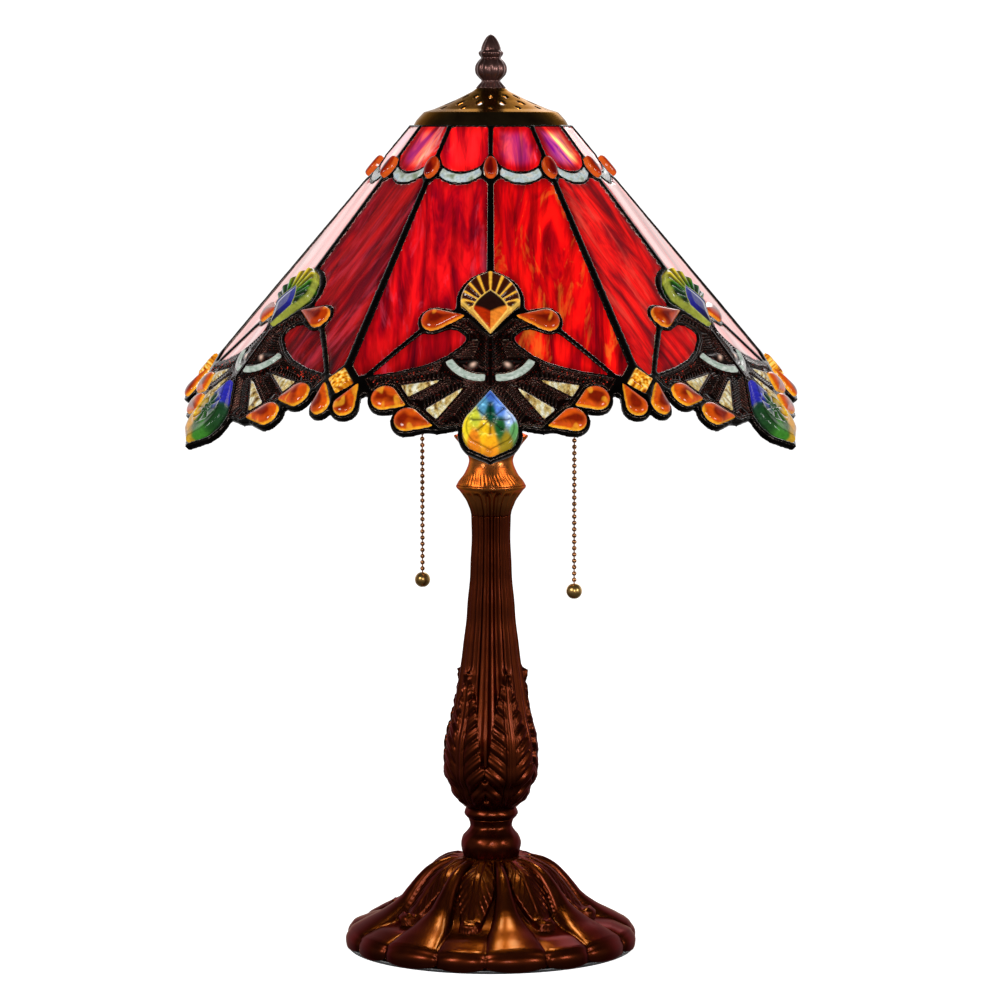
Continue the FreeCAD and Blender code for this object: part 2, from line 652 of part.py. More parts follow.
def bulb(number, place):
    """The screw base and the blown glass of one bulb."""
    turned(f"bulb_base_{number}", [
        (0, 419.0), (4.0, 419.0), (6.0, 421.6), (12.9, 423.4), (12.9, 441.0), (0, 441.0)], place)
    outer = size_of("dim.bulb_radius")
    inner = outer - size_of("dim.bulb_wall")
    centre = size_of("dim.bulb_centre")
    waist = math.radians(30)
    turned(f"bulb_glass_{number}", [
        (12.4, 441.1), (12.6, 452.0),
        (outer * math.cos(waist), centre - outer * math.sin(waist)), (outer, centre, "via"),
        (0, centre + outer), (0, centre + inner), (inner, centre, "via"),
        (inner * math.cos(waist), centre - inner * math.sin(waist)),
        (11.8, 452.0), (11.6, 441.1)], place)


def build_cluster():
    turned("cluster_body", [
        (4.9, 366.0), (9.0, 366.0), (14.0, 369.0), (14.0, 385.0), (9.0, 388.0), (4.0, 388.0),
        (4.0, 376.3), (4.9, 376.3)])
    directions, mouths = (-34.0, 146.0), (-19.0, 131.0)
    cluster_arms(directions[0])
    for number, (direction, mouth) in enumerate(zip(directions, mouths), start=1):
        place = at_socket(direction, mouth)
        socket_parts(number, place)
        switch_spool(number, place)
        pull_chain(number, place)
        bulb(number, place)


# ---------------------------------------------------------------- checks and output
def check_model():
    for item in doc.Objects:
        assert not {"Invalid", "Error"} & set(item.State), (item.Label, item.State)
    for body in SUBPARTS:
        assert not body.Shape.isNull() and body.Shape.isValid(), body.Label
        assert body.Shape.Solids, body.Label


def write_parts():
    os.makedirs("parts", exist_ok=True)
    for body in SUBPARTS:
        body.Shape.exportStep(f"parts/{body.Label}.step")
        print(f"{body.Label:22s} solids {len(body.Shape.Solids):3d} volume {body.Shape.Volume:10.1f}")


build_base()
build_stem()
build_cluster()
build_shade()
build_finial()
doc.recompute()
check_model()
write_parts()
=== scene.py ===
"""Looks of the leaded glass table lamp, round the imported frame. Metres, +Z up, front at -Y."""
import json
import math

import bmesh
import bpy
import numpy as np
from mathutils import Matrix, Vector, noise


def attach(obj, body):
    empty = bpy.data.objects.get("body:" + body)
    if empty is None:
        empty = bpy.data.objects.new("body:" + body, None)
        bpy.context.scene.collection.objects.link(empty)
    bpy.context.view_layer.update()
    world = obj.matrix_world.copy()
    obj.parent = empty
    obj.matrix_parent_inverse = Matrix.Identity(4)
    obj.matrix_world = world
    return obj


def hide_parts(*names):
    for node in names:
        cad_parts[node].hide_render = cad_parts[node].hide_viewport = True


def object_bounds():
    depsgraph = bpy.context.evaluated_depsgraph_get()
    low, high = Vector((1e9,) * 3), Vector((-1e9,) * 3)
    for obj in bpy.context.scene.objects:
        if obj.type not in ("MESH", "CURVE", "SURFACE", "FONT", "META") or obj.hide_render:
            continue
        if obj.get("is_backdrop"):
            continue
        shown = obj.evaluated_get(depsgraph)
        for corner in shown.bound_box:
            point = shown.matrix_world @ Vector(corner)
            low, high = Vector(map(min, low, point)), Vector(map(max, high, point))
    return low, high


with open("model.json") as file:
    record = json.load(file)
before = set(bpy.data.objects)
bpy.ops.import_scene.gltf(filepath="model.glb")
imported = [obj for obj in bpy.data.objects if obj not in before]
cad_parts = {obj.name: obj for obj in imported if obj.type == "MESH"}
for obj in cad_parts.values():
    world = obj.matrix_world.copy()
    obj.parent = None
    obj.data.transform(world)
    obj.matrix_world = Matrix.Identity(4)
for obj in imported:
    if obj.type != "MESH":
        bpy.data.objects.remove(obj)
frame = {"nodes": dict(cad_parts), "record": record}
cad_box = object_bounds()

MM = 0.001
NODES = frame["nodes"]
BODY_OF = {node: body for body, nodes in frame["record"]["behaviour"]["bodies"].items()
           for node in nodes}
SLOT_OF = {item["node"]: item["material_slot"] for item in frame["record"]["subparts"]}


# ---------------------------------------------------------------- camera, floor and light
LENS = 145.7
CAMERA_PLACE = (0.006, -2.690, 0.552)
CAMERA_TILT = 5.33
FLOOR_HALF = 30.0
STUDIO_LIGHTS = (
    ("key_left", (-1.5, -1.7, 1.2), (0, 0, 0.30), 0.55, 20),
    ("fill_right", (1.6, -1.3, 0.8), (0, 0, 0.30), 0.5, 12),
    ("front_strip", (0.25, -2.6, 0.9), (0, 0, 0.30), 0.35, 14),
    ("rim_back", (0.3, 1.8, 1.5), (0, 0, 0.35), 1.0, 10),
)


def placed(name, data, place=(0, 0, 0)):
    """A new object in the scene."""
    thing = bpy.data.objects.new(name, data)
    thing.location = place
    bpy.context.scene.collection.objects.link(thing)
    return thing


def make_camera():
    """Level with the upper shade, tilted a little down, at the photograph's distance."""
    data = bpy.data.cameras.new("camera")
    data.sensor_width = 36
    data.lens = LENS
    data.clip_end = 100
    camera = placed("camera", data, CAMERA_PLACE)
    camera.rotation_euler = (math.radians(90 - CAMERA_TILT), 0, 0)
    bpy.context.scene.camera = camera


def add_light(name, kind, place, power):
    data = bpy.data.lights.new(name, kind)
    data.energy = power
    return placed(name, data, place)


def area_light(name, place, aim, size, power):
    light = add_light(name, "AREA", place, power)
    light.data.size = size
    light.rotation_euler = (Vector(aim) - Vector(place)).to_track_quat("-Z", "Y").to_euler()


def studio_world():
    """White to the camera. To the lamp it is bright low down behind and dim overhead and in
    front, as in a dark studio with a white backdrop."""
    world = bpy.data.worlds.new("studio")
    graph = Graph(world)
    split = graph.add("SeparateXYZ")
    graph.join((graph.add("TexCoord"), "Generated"), split, "Vector")
    product = graph.add("Math", operation="MULTIPLY")
    for number, (axis, stops) in enumerate((
            ("Y", ((0.0, 0.26), (0.62, 0.22), (0.86, 1.15))),
            ("Z", ((0.30, 0.35), (0.48, 1.0), (0.66, 0.95), (0.84, 0.30))))):
        shift = graph.add("MapRange", From_Min=-1)
        graph.join((split, axis), shift, "Value")
        graph.join(graph.ramp(shift, stops), product, number)
    seen = graph.add("Math", operation="MAXIMUM")
    graph.join(product, seen, 0)
    graph.join((graph.add("LightPath"), "Is Camera Ray"), seen, 1)
    background = graph.nodes["Background"]
    graph.join(seen, background, "Strength")
    background.inputs["Color"].default_value = (1, 1, 1, 1)
    bpy.context.scene.world = world


def make_stage():
    """A pale floor, a white backdrop and soft studio lights."""
    corners = [(x * FLOOR_HALF, y * FLOOR_HALF, 0)
               for x, y in ((-1, -1), (1, -1), (1, 1), (-1, 1))]
    floor = mesh_object("floor", corners, [(0, 1, 2, 3)])
    white = Graph("floor_white")
    white.set(Base_Color=(0.90, 0.90, 0.90, 1), Roughness=0.9, Metallic=0.0,
              Specular_IOR_Level=0.0, Emission_Color=(1, 1, 1, 1), Emission_Strength=0.9)
    floor.data.materials.append(white.material)
    floor.visible_glossy = False
    floor.visible_diffuse = False
    floor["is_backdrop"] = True
    studio_world()
    for light in STUDIO_LIGHTS:
        area_light(*light)
    bpy.context.scene.view_settings.view_transform = "Standard"


# ---------------------------------------------------------------- node materials
def output_of(source):
    """A node's first output, or the one that a (node, name) pair says."""
    node, name = source if isinstance(source, tuple) else (source, 0)
    return node.outputs[name]


class Graph:
    """The node tree of a world, or of a new material with a given name, with short ways to
    add and join nodes."""

    def __init__(self, owner):
        self.material = bpy.data.materials.new(owner) if isinstance(owner, str) else owner
        self.material.use_nodes = True
        self.nodes = self.material.node_tree.nodes
        self.links = self.material.node_tree.links
        self.shader = self.nodes.get("Principled BSDF")

    def add(self, kind, **values):
        """A new node. A value is for its setting of that name, or else for its input."""
        node = self.nodes.new("ShaderNode" + kind)
        for name, value in values.items():
            if hasattr(node, name):
                setattr(node, name, value)
            else:
                node.inputs[name.replace("_", " ")].default_value = value
        return node

    def join(self, source, target, name):
        self.links.new(output_of(source), target.inputs[name])

    def coordinates(self, scale=(1, 1, 1), attribute=None):
        """Object coordinates, or a stored attribute, scaled."""
        if attribute:
            start = (self.add("Attribute", attribute_name=attribute), "Vector")
        else:
            start = (self.add("TexCoord"), "Object")
        mapping = self.add("Mapping", Scale=scale)
        self.join(start, mapping, "Vector")
        return mapping

    def noise(self, where, scale, detail=4.0, roughness=0.55, distortion=0.0):
        node = self.add("TexNoise", Scale=scale, Detail=detail, Roughness=roughness,
                        Distortion=distortion)
        self.join(where, node, "Vector")
        return node

    def ramp(self, source, stops):
        """A colour ramp. A stop's colour may be one number, for grey."""
        node = self.add("ValToRGB")
        points = node.color_ramp.elements
        while len(points) < len(stops):
            points.new(0.5)
        for point, (position, colour) in zip(points, stops):
            point.position = position
            grey = isinstance(colour, (int, float))
            point.color = (colour,) * 3 + (1,) if grey else (*colour, 1)
        self.join(source, node, "Fac")
        return node

    def mix(self, kind, factor, first, second):
        """Mixes two colours. A factor is a number or a node."""
        node = self.add("Mix", data_type="RGBA", blend_type=kind)
        for socket, value in ((0, factor), (6, first), (7, second)):
            if isinstance(value, (int, float)):
                node.inputs[socket].default_value = value
            elif isinstance(value, tuple) and not hasattr(value[0], "outputs"):
                node.inputs[socket].default_value = (*value, 1)
            else:
                self.links.new(output_of(value), node.inputs[socket])
        return (node, 2)

    def stored(self, name):
        """The colour that a mesh keeps at each vertex under a name."""
        return (self.add("Attribute", attribute_name=name), "Color")

    def worn(self, colour, edges, low, high, share):
        """A colour with another along its sharp edges."""
        wear = self.ramp((self.add("NewGeometry"), "Pointiness"), [(low, 0), (high, share)])
        return self.mix("MIX", wear, colour, edges)

    def bump(self, source, strength, distance):
        node = self.add("Bump", Strength=strength, Distance=distance)
        self.join(source, node, "Height")
        self.join(node, self.shader, "Normal")

    def set(self, **values):
        """Values for the shader's inputs, each by its name with _ for spaces."""
        for name, value in values.items():
            self.shader.inputs[name.replace("_", " ")].default_value = value


# Painted light: bright copper that stands for the bulbs' light on the cup and collar.
PAINTED_LAMPLIT_COPPER = (0.60, 0.19, 0.045)


def cast_metal(name, dark, light, roughness, worn, metallic=0.85, grain=900, coat=0.0, painted_lamplight_heights=(),
               edge_tint=(1, 1, 1)):
    """Patinated metal: blotchy colour, brighter worn edges and a fine cast skin. Between the
    two given heights it turns to a bright copper colour: painted light from the bulbs above."""
    graph = Graph(name)
    where = graph.coordinates()
    blotch = graph.noise(where, 55, 5)
    colour = graph.ramp(blotch, [(0.35, dark), (0.68, light)])
    colour = graph.worn(colour, worn, 0.52, 0.64, 0.8)
    # Painted light: above the given heights the colour turns to the lamplit copper.
    if painted_lamplight_heights:
        place = graph.add("SeparateXYZ")
        graph.join(graph.coordinates(), place, "Vector")
        low, high = painted_lamplight_heights
        glow = graph.ramp((place, "Z"), [(low, 0), (high, 1)])
        colour = graph.mix("MIX", glow, colour, PAINTED_LAMPLIT_COPPER)
    graph.join(colour, graph.shader, "Base Color")
    rough = graph.ramp(graph.noise(where, 140, 3),
                       [(0.3, roughness * 0.93), (0.7, roughness * 1.1)])
    graph.join(rough, graph.shader, "Roughness")
    graph.set(Metallic=metallic, Coat_Weight=coat, Coat_Roughness=0.2,
              Specular_Tint=(*edge_tint, 1))
    graph.bump(graph.noise(where, grain, 2), 0.012, 0.0003)
    return graph.material


def lit_glass(name, strength=1.0, roughness=0.08, bump_scale=160.0, bump=0.15, ripple=0.25):
    """Backlit glass: each vertex's tint glows, broken up by streaks and swirls."""
    graph = Graph(name)
    tint = graph.stored("tint")
    where = graph.coordinates()
    swirl = graph.noise(where, bump_scale, 4, 0.6, 1.2)
    shade = graph.ramp(swirl, [(0.25, 1 - ripple), (0.75, 1 + ripple)])
    glow = graph.mix("MULTIPLY", 1.0, tint, shade)
    # Painted shade: seen edge-on, the glow dims and turns a darker red.
    depth = graph.ramp((graph.add("LayerWeight"), "Facing"),
                       [(0.45, 1), (0.88, (0.3, 0.2, 0.2))])
    glow = graph.mix("MULTIPLY", 1.0, glow, depth)
    graph.join(glow, graph.shader, "Emission Color")
    body = graph.mix("MULTIPLY", 1.0, tint, (0.08, 0.08, 0.08))
    graph.join(body, graph.shader, "Base Color")
    graph.set(Emission_Strength=strength, Roughness=roughness, Coat_Weight=0.2,
              Coat_Roughness=0.04, Specular_IOR_Level=0.25)
    graph.bump(swirl, bump, 0.0012)
    return graph.material


# ---------------------------------------------------------------- meshes
def store_colours(mesh, name, colours):
    """Keep a colour for each vertex under a name."""
    layer = mesh.color_attributes.new(name, "FLOAT_COLOR", "POINT")
    whole = np.ones((len(mesh.vertices), 4), np.float32)
    whole[:, :3] = colours
    layer.data.foreach_set("color", whole.ravel())


def mesh_object(name, points, faces, tint=None):
    """A mesh object, with an optional colour for each vertex stored as tint."""
    mesh = bpy.data.meshes.new(name)
    mesh.from_pydata([tuple(map(float, point)) for point in points], [],
                     [tuple(map(int, face)) for face in faces])
    if tint is not None:
        store_colours(mesh, "tint", tint)
    mesh.shade_smooth()
    return placed(name, mesh)


def settle(piece, material, *nodes):
    """Give a piece its material, put it in the body of the CAD nodes it stands for, and hide
    those nodes.
    """
    piece.data.materials.clear()
    piece.data.materials.append(material)
    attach(piece, BODY_OF[nodes[0]])
    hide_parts(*nodes)
    return piece


def mesh_arrays(mesh):
    """Vertices as an array and faces as a list of index tuples."""
    points = np.zeros(len(mesh.vertices) * 3)
    mesh.vertices.foreach_get("co", points)
    return points.reshape(-1, 3), [tuple(face.vertices) for face in mesh.polygons]


def welded(mesh, reach=1e-6):
    """A mesh as a bmesh whose faces share their vertices."""
    whole = bmesh.new()
    whole.from_mesh(mesh)
    bmesh.ops.remove_doubles(whole, verts=whole.verts, dist=reach)
    return whole


def islands(node):
    """The separate solids of a CAD node, each a welded bmesh."""
    whole = welded(NODES[node].data)
    whole.verts.index_update()
    group = [-1] * len(whole.verts)
    count = 0
    for start in whole.verts:
        if group[start.index] >= 0:
            continue
        stack = [start]
        group[start.index] = count
        while stack:
            for edge in stack.pop().link_edges:
                for vertex in edge.verts:
                    if group[vertex.index] < 0:
                        group[vertex.index] = count
                        stack.append(vertex)
        count += 1
    solids = []
    for number in range(count):
        solid = whole.copy()
        solid.verts.ensure_lookup_table()
        loose = [v for v in solid.verts if group[v.index] != number]
        bmesh.ops.delete(solid, geom=loose, context="VERTS")
        solids.append(solid)
    whole.free()
    return solids


def remeshed(source, voxel, smooth=0):
    """Even quads over a closed bmesh, with its edges rounded by smoothing."""
    mesh = bpy.data.meshes.new("remesh")
    source.to_mesh(mesh)
    thing = placed("remesh", mesh)
    modifier = thing.modifiers.new("remesh", "REMESH")
    modifier.mode = "VOXEL"
    modifier.voxel_size = voxel * MM
    if smooth:
        rounding = thing.modifiers.new("smooth", "SMOOTH")
        rounding.factor = 0.5
        rounding.iterations = smooth
    graph = bpy.context.evaluated_depsgraph_get()
    result = bpy.data.meshes.new_from_object(thing.evaluated_get(graph), depsgraph=graph)
    arrays = mesh_arrays(result)
    bpy.data.objects.remove(thing)
    bpy.data.meshes.remove(mesh)
    bpy.data.meshes.remove(result)
    return arrays


def smoothstep(value, low, high):
    t = np.clip((value - low) / (high - low), 0, 1)
    return t * t * (3 - 2 * t)


def bump_at(value, centre, width):
    """A smooth bump of height 1."""
    return np.exp(-((value - centre) / width) ** 2)


def noise_field(points, scale, seed=0.0):
    """Smooth noise from -1 to 1 at each point, its features about 1/scale across."""
    return np.array([noise.noise(Vector(point) * scale + Vector((seed, seed * 0.7, 3.1)))
                     for point in points])


# ---------------------------------------------------------------- turned pieces with relief
def smooth_profile(corners, spacing):
    """Points at a spacing along a smooth curve through corners (radius, height), in mm."""
    corners = np.array(corners, float)
    along = np.r_[0, np.cumsum(np.hypot(*np.diff(corners, axis=0).T))]
    slope = np.gradient(corners, along, axis=0)
    places = np.linspace(0, along[-1], max(int(along[-1] / spacing), 6) + 1)
    first = np.clip(np.searchsorted(along, places, side="right") - 1, 0, len(along) - 2)
    span = (along[first + 1] - along[first])[:, None]
    t = (places - along[first])[:, None] / span
    return ((2 * t ** 3 - 3 * t ** 2 + 1) * corners[first]
            + (t ** 3 - 2 * t ** 2 + t) * span * slope[first]
            + (3 * t ** 2 - 2 * t ** 3) * corners[first + 1]
            + (t ** 3 - t ** 2) * span * slope[first + 1])


def lathe(name, profile, columns, relief=None, bore=0.0, hole=()):
    """A closed turned piece. profile runs up the outside; relief(turn, radius, height) says how
    far the surface stands out, in mm; bore is the radius of a straight hole, or hole its own
    profile, from the top down. Turns are in degrees from the front towards +X."""
    profile = np.array(profile, float)
    turn = np.arange(columns) * 360.0 / columns
    tangent = np.gradient(profile, axis=0)
    tangent /= np.linalg.norm(tangent, axis=1)[:, None] + 1e-12
    radius = np.repeat(profile[:, :1], columns, 1)
    height = np.repeat(profile[:, 1:], columns, 1)
    if relief:
        out = relief(np.repeat(turn[None], len(profile), 0), radius, height)
        radius = radius + out * tangent[:, 1:]
        height = height - out * tangent[:, :1]
    if bore:
        hole = ((bore, profile[-1, 1]), (bore, profile[0, 1]))
    for inner, level in hole:
        radius = np.vstack([radius, np.full((1, columns), inner)])
        height = np.vstack([height, np.full((1, columns), level)])
    angle = np.radians(turn)[None]
    grid = np.stack([radius * np.sin(angle), -radius * np.cos(angle), height], 2) * MM
    rows = len(grid)
    points = grid.reshape(-1, 3)
    wrap = rows if hole else rows - 1
    faces = [(row * columns + column, row * columns + (column + 1) % columns,
              (row + 1) % rows * columns + (column + 1) % columns,
              (row + 1) % rows * columns + column)
             for row in range(wrap) for column in range(columns)]
    if not hole:
        faces.append(tuple(range(columns))[::-1])
        faces.append(tuple(range((rows - 1) * columns, rows * columns)))
    piece = mesh_object(name, points, faces)
    tidy_mesh(piece)
    return piece


def tidy_mesh(piece):
    """Weld what meets, drop what has no area and turn every face outwards."""
    shape = welded(piece.data, 2e-6)
    bmesh.ops.dissolve_degenerate(shape, edges=shape.edges, dist=1e-7)
    bmesh.ops.recalc_face_normals(shape, faces=shape.faces)
    shape.to_mesh(piece.data)
    shape.free()


def from_centre(turn, first, count):
    """Degrees from the nearest of count evenly spaced turns."""
    step = 360.0 / count
    return (turn - first + step / 2) % step - step / 2


# ---------------------------------------------------------------- column
FLUTES, FLUTE_TURN = 18, -7.6
LEAVES, LEAF_TURN = 5, 28.0
LOBE_RISE = 11.0
COLUMN = [(18.1, 95), (21.2, 98.5), (23.5, 102), (25.2, 105), (26.2, 109), (29.9, 115.5),
          (30.6, 126), (29.5, 143), (26.8, 153), (24.1, 166), (21.8, 180), (19.8, 193),
          (18.1, 207), (16.4, 220), (15.4, 234), (14.0, 247), (13.4, 261), (12.7, 274),
          (13.0, 290.9)]


def flutes(turn, radius):
    """Wide hollows between thin ridges."""
    step = 360.0 / FLUTES
    across = np.abs(from_centre(turn, FLUTE_TURN, FLUTES)) / (step / 2)
    ridge = smoothstep(across, 0.70, 0.86) - 0.3 * smoothstep(across, 0.92, 1.0)
    return -0.105 * radius * (1 - smoothstep(across, 0.0, 0.84) ** 1.3) + 0.35 * ridge


def acanthus(turn, radius, height):
    """One tier of long leaves: how far each stands out, and where a leaf is."""
    off = from_centre(turn, LEAF_TURN, LEAVES)
    across = np.radians(off) * radius
    wide = np.abs(across)
    rise = (height - 14.0 * (wide / 14.0) ** 0.8) / LOBE_RISE
    lobe = rise - np.floor(rise)
    finger = 1 - (2 * lobe - 1) ** 4
    width = np.interp(height, [95, 124, 127, 139, 150, 162, 171, 180, 186, 188],
                      [37, 36.5, 33, 29.5, 26, 21, 15.5, 9.5, 5.5, 0])
    limit = width * (0.86 + 0.14 * finger)
    inside = smoothstep(limit - np.abs(off), -0.2, 0.9)
    edge = np.abs(off) / np.maximum(limit, 0.5)
    bulge = 0.3 + (1.7 * finger - 0.5 * lobe) * smoothstep(edge, 0.08, 0.5)
    veins = 0.14 * np.cos(6 * math.pi * rise) * smoothstep(edge, 0.2, 0.5)
    rib = 1.3 * smoothstep(2.6 - wide, 0, 0.8) - 0.7 * bump_at(wide, 3.4, 0.7)
    hollow = -0.5 * smoothstep(1.8 - wide, 0, 1.2)
    tip = 1.8 * np.exp(-((height - 185.5) / 3.2) ** 2 - (across / 3.4) ** 2)
    eye = -1.1 * np.exp(-((height - 184.0) / 1.4) ** 2 - ((across - 1.2) / 1.3) ** 2)
    return inside, bulge + veins + rib + hollow - 0.4, tip + eye


def column_relief(turn, radius, height):
    inside, leaf, tip = acanthus(turn, radius, height)
    foot = smoothstep(height, 95.5, 101)
    return flutes(turn, radius) * (1 - inside) * foot + inside * leaf * foot + tip


# ---------------------------------------------------------------- base
PETALS, PETAL_TURN = 8, 10.3
HALF_STEP = 180.0 / PETALS
BASE = [(22.0, 61.0), (30.0, 57.7), (41.4, 50.9), (47.8, 44.0), (53.2, 37.2), (58.6, 30.4),
        (68.7, 23.6), (83.6, 16.8), (91.0, 13.2), (95.4, 11.4), (97.2, 8.8), (97.4, 4.2),
        (96.6, 1.5), (93.8, 1.5), (91.5, 7.4), (81.8, 12.6), (66.5, 19.4), (55.6, 26.4),
        (44.5, 41.0), (28.5, 53.5), (12.0, 56.5)]


def base_leaf(radius, across):
    """The leaf in a hollow: veined, ribbed, narrowing to a knob with two bead eyes."""
    wide = np.abs(across)
    half = np.interp(radius, [22, 30, 40, 49, 56, 61, 65, 69, 71.5],
                     [5.0, 7.6, 11.4, 12.4, 9.6, 7.6, 7.4, 6.6, 0])
    on_leaf = smoothstep(half - wide, -0.3, 0.7)
    lobes = (radius - 1.3 * wide) / 5.2
    veins = 0.75 * (lobes - np.floor(lobes)) ** 1.3 * smoothstep(wide, 1.6, 4.0)
    veins *= smoothstep(radius, 62, 57)
    rib = 1.1 * smoothstep(2.3 - wide, 0, 0.9) * smoothstep(radius, 63, 58)
    swell = 2.6 * np.sqrt(np.clip(1 - (wide / (half + 2.0)) ** 2, 0, 1))
    knob = 2.6 * np.exp(-((radius - 67.5) / 3.2) ** 4 - (across / 7.2) ** 4)
    eyes = sum(1.2 * np.exp(-((radius - 64.8) / 1.3) ** 2 - ((across - side) / 1.5) ** 2)
               for side in (-3.4, 3.4))
    return on_leaf, swell + veins + rib + knob + eyes - 0.8


def base_relief(turn, radius, height):
    """Broad petals between hollows, a leaf that ends in a knob in each, and a lobed rim.
    The profile runs down, so what stands out is negative."""
    off = from_centre(turn, PETAL_TURN, PETALS)
    half = np.interp(radius, [20, 34, 50, 58, 66, 74, 97], [5.6, 5.8, 6.8, 8.6, 10.6, 12.0, 12.6])
    share = np.abs(off) / half
    across = np.radians(HALF_STEP - np.abs(off)) * radius * np.where(off > 0, 1, -1)
    trough_share = (HALF_STEP - np.abs(off)) / (HALF_STEP - half)
    petal_lobe = np.sqrt(np.clip(1 - share ** 2, 0, 1))
    trough_lobe = np.sqrt(np.clip(1 - trough_share ** 2, 0, 1)) * (share > 1)
    rise = np.interp(radius, [22, 34, 48, 60, 75, 97], [2.0, 4.6, 5.6, 6.0, 4.8, 3.4])
    on_leaf, leaf = base_leaf(radius, across)
    groove = -2.8 * smoothstep(radius, 84, 64) * smoothstep(radius, 24, 30)
    skirt = np.interp(radius, [64, 80, 97], [0.0, 1.8, 3.2]) * trough_lobe
    hollow = (share > 1) * ((groove + skirt) * (1 - on_leaf) + on_leaf * leaf)
    top = rise * petal_lobe + hollow - 0.6
    lobe = 4.6 * np.maximum(petal_lobe, trough_lobe) - 3.8
    rim = smoothstep(radius, 91.0, 96.2)
    lip = 0.9 * bump_at(radius, 94.2, 1.0)
    row = np.arange(radius.shape[0])
    foot = int(np.argmin(height[:, 0]))
    upper = (row < foot - 1)[:, None]
    under = (row >= foot + 2)[:, None]
    out = np.where(upper, (top + lip) * (1 - rim) + lobe * rim, np.where(under, 0.0, lobe))
    return -out * smoothstep(radius, 20.5, 27)


# ---------------------------------------------------------------- rings, cup, collar, finial
def ring_relief(turn, radius, height):
    return 0.12 * noise_grid(turn, height, 5, 0.25)


def noise_grid(turn, height, waves, rise):
    """Cheap smooth unevenness over a turned surface."""
    angle = np.radians(turn)
    return (np.sin(waves * angle + rise * height) * np.cos(1.7 * rise * height + 2 * angle)
            + 0.5 * np.sin(3 * waves * angle - 2.3 * rise * height))


def collar_relief(turn, radius, height):
    """The column's flutes run on up the bell and die out under its rounded brim."""
    return flutes(turn, radius) * smoothstep(height, 308.5, 303.0)


def cup_relief(turn, radius, height):
    """Fine curved ribs round the foot of the cup and small lobes at its lip."""
    low = smoothstep(height, 321.5, 316.5) * smoothstep(height, 312, 313.5)
    ribs = np.abs(np.sin(np.radians(turn * 24 + (height - 312) * 22))) ** 0.6 - 0.6
    lip = smoothstep(height, 335, 342) * np.cos(np.radians(turn * 9))
    return 0.45 * ribs * low + 0.7 * lip


def finial_relief(turn, radius, height):
    """A ball cut with upright flutes, a crown of small petals above it and a pointed bud."""
    flute = np.abs(np.sin(np.radians(turn * 5)))
    ball = bump_at(height, 587.0, 5.4)
    crown = bump_at(height, 597.4, 1.8)
    bud = smoothstep(height, 599, 601) * smoothstep(height, 610.5, 606)
    foot = smoothstep(height, 579.5, 577)
    return ((flute ** 0.45 - 0.75) * 1.7 * ball
            + 0.8 * (np.abs(np.cos(np.radians(turn * 4))) - 0.6) * crown
            + (np.abs(np.cos(np.radians(turn * 2 + 30))) ** 0.5 - 0.7) * 0.9 * bud
            + 0.35 * np.cos(np.radians(turn * 16)) * foot)


FINIAL = [(9.6, 574.6), (8.4, 576.0), (6.9, 577.8), (6.2, 579.4), (7.6, 581.2), (9.6, 583.8),
          (10.2, 587.0), (9.6, 590.2), (7.9, 592.9), (6.5, 594.5), (7.5, 596.2), (7.9, 598.0),
          (6.6, 599.4), (6.2, 601.0), (5.5, 603.2), (4.0, 606.2), (1.9, 609.0), (0.0, 610.0)]
CUP = [(23.0, 311.5), (21.0, 314.4), (18.3, 317.8), (16.7, 321.1), (15.3, 324.5), (14.7, 327.8),
       (15.7, 331.2), (18.0, 334.5), (20.0, 337.9), (22.0, 341.2), (23.8, 343.4), (24.4, 344.2),
       (23.0, 344.5), (20.0, 341.7), (14.0, 341.5)]
COLLAR = [(13.0, 291.0), (13.7, 294.3), (15.0, 297.7), (16.4, 301.0), (18.7, 304.4),
          (21.4, 307.7), (23.2, 309.8), (23.4, 310.8), (22.6, 311.4)]
RING = [(15.6, 86.6), (17.1, 88.3), (18.0, 90.0), (17.5, 92.4), (15.8, 94.9)]
BALUSTER = [(18.6, 61.1), (19.6, 65.5), (20.2, 69.6), (18.8, 74.7), (16.1, 78.0), (14.1, 81.5),
            (14.8, 85.0), (15.4, 86.5)]
ROD_BORE = 5.3
TURNED = (
    ("column_leafed", "column", COLUMN, 0.62, 400, column_relief),
    ("base_lobed", "base_casting", BASE, 0.85, 720, base_relief),
    ("stem_cup_fluted", "stem_cup", CUP, 0.6, 288, cup_relief),
    ("collar_ribbed", "collar", COLLAR, 0.5, 360, collar_relief),
    ("base_ring_rolled", "base_ring", RING, 0.6, 144, ring_relief),
    ("baluster_turned", "baluster", BALUSTER, 0.6, 144, ring_relief),
)


def build_turned():
    for name, node, corners, spacing, columns, relief in TURNED:
        metal = LIT_BRONZE if node in ("stem_cup", "collar") else BRONZE
        piece = lathe(name, smooth_profile(corners, spacing), columns, relief, bore=ROD_BORE)
        settle(piece, metal, node)
    finial = lathe("finial_bud", smooth_profile(FINIAL, 0.45), 180, finial_relief,
                   hole=((0.0, 587.5), (3.98, 587.5), (3.98, 574.6)))
    settle(finial, DARK_BRONZE, "finial")


# ---------------------------------------------------------------- shade geometry
APEX = 611.0
SEAM_LEAN = math.atan(0.8388)
PANELS = 12


def seam(azimuth):
    """Unit vector down a seam; azimuth in degrees from the front towards +X."""
    turn = math.radians(azimuth)
    return np.array([math.sin(SEAM_LEAN) * math.sin(turn), -math.sin(SEAM_LEAN) * math.cos(turn),
                     -math.cos(SEAM_LEAN)])


class Plane:
    """A panel's own coordinates in mm: across, down the slope from the apex, and outward."""

    def __init__(self, down, across, number):
        self.number = number
        self.rows = np.array([across, down, np.cross(across, -down)])
        if self.rows[2] @ (down * (1, 1, 0)) < 0:
            self.rows[2] *= -1

    def flat(self, points):
        return (points / MM - (0, 0, APEX)) @ self.rows.T

    def space(self, flat):
        return (flat @ self.rows + (0, 0, APEX)) * MM

    def faces_out(self, normal):
        return normal.dot(Vector(self.rows[2])) > 0.99


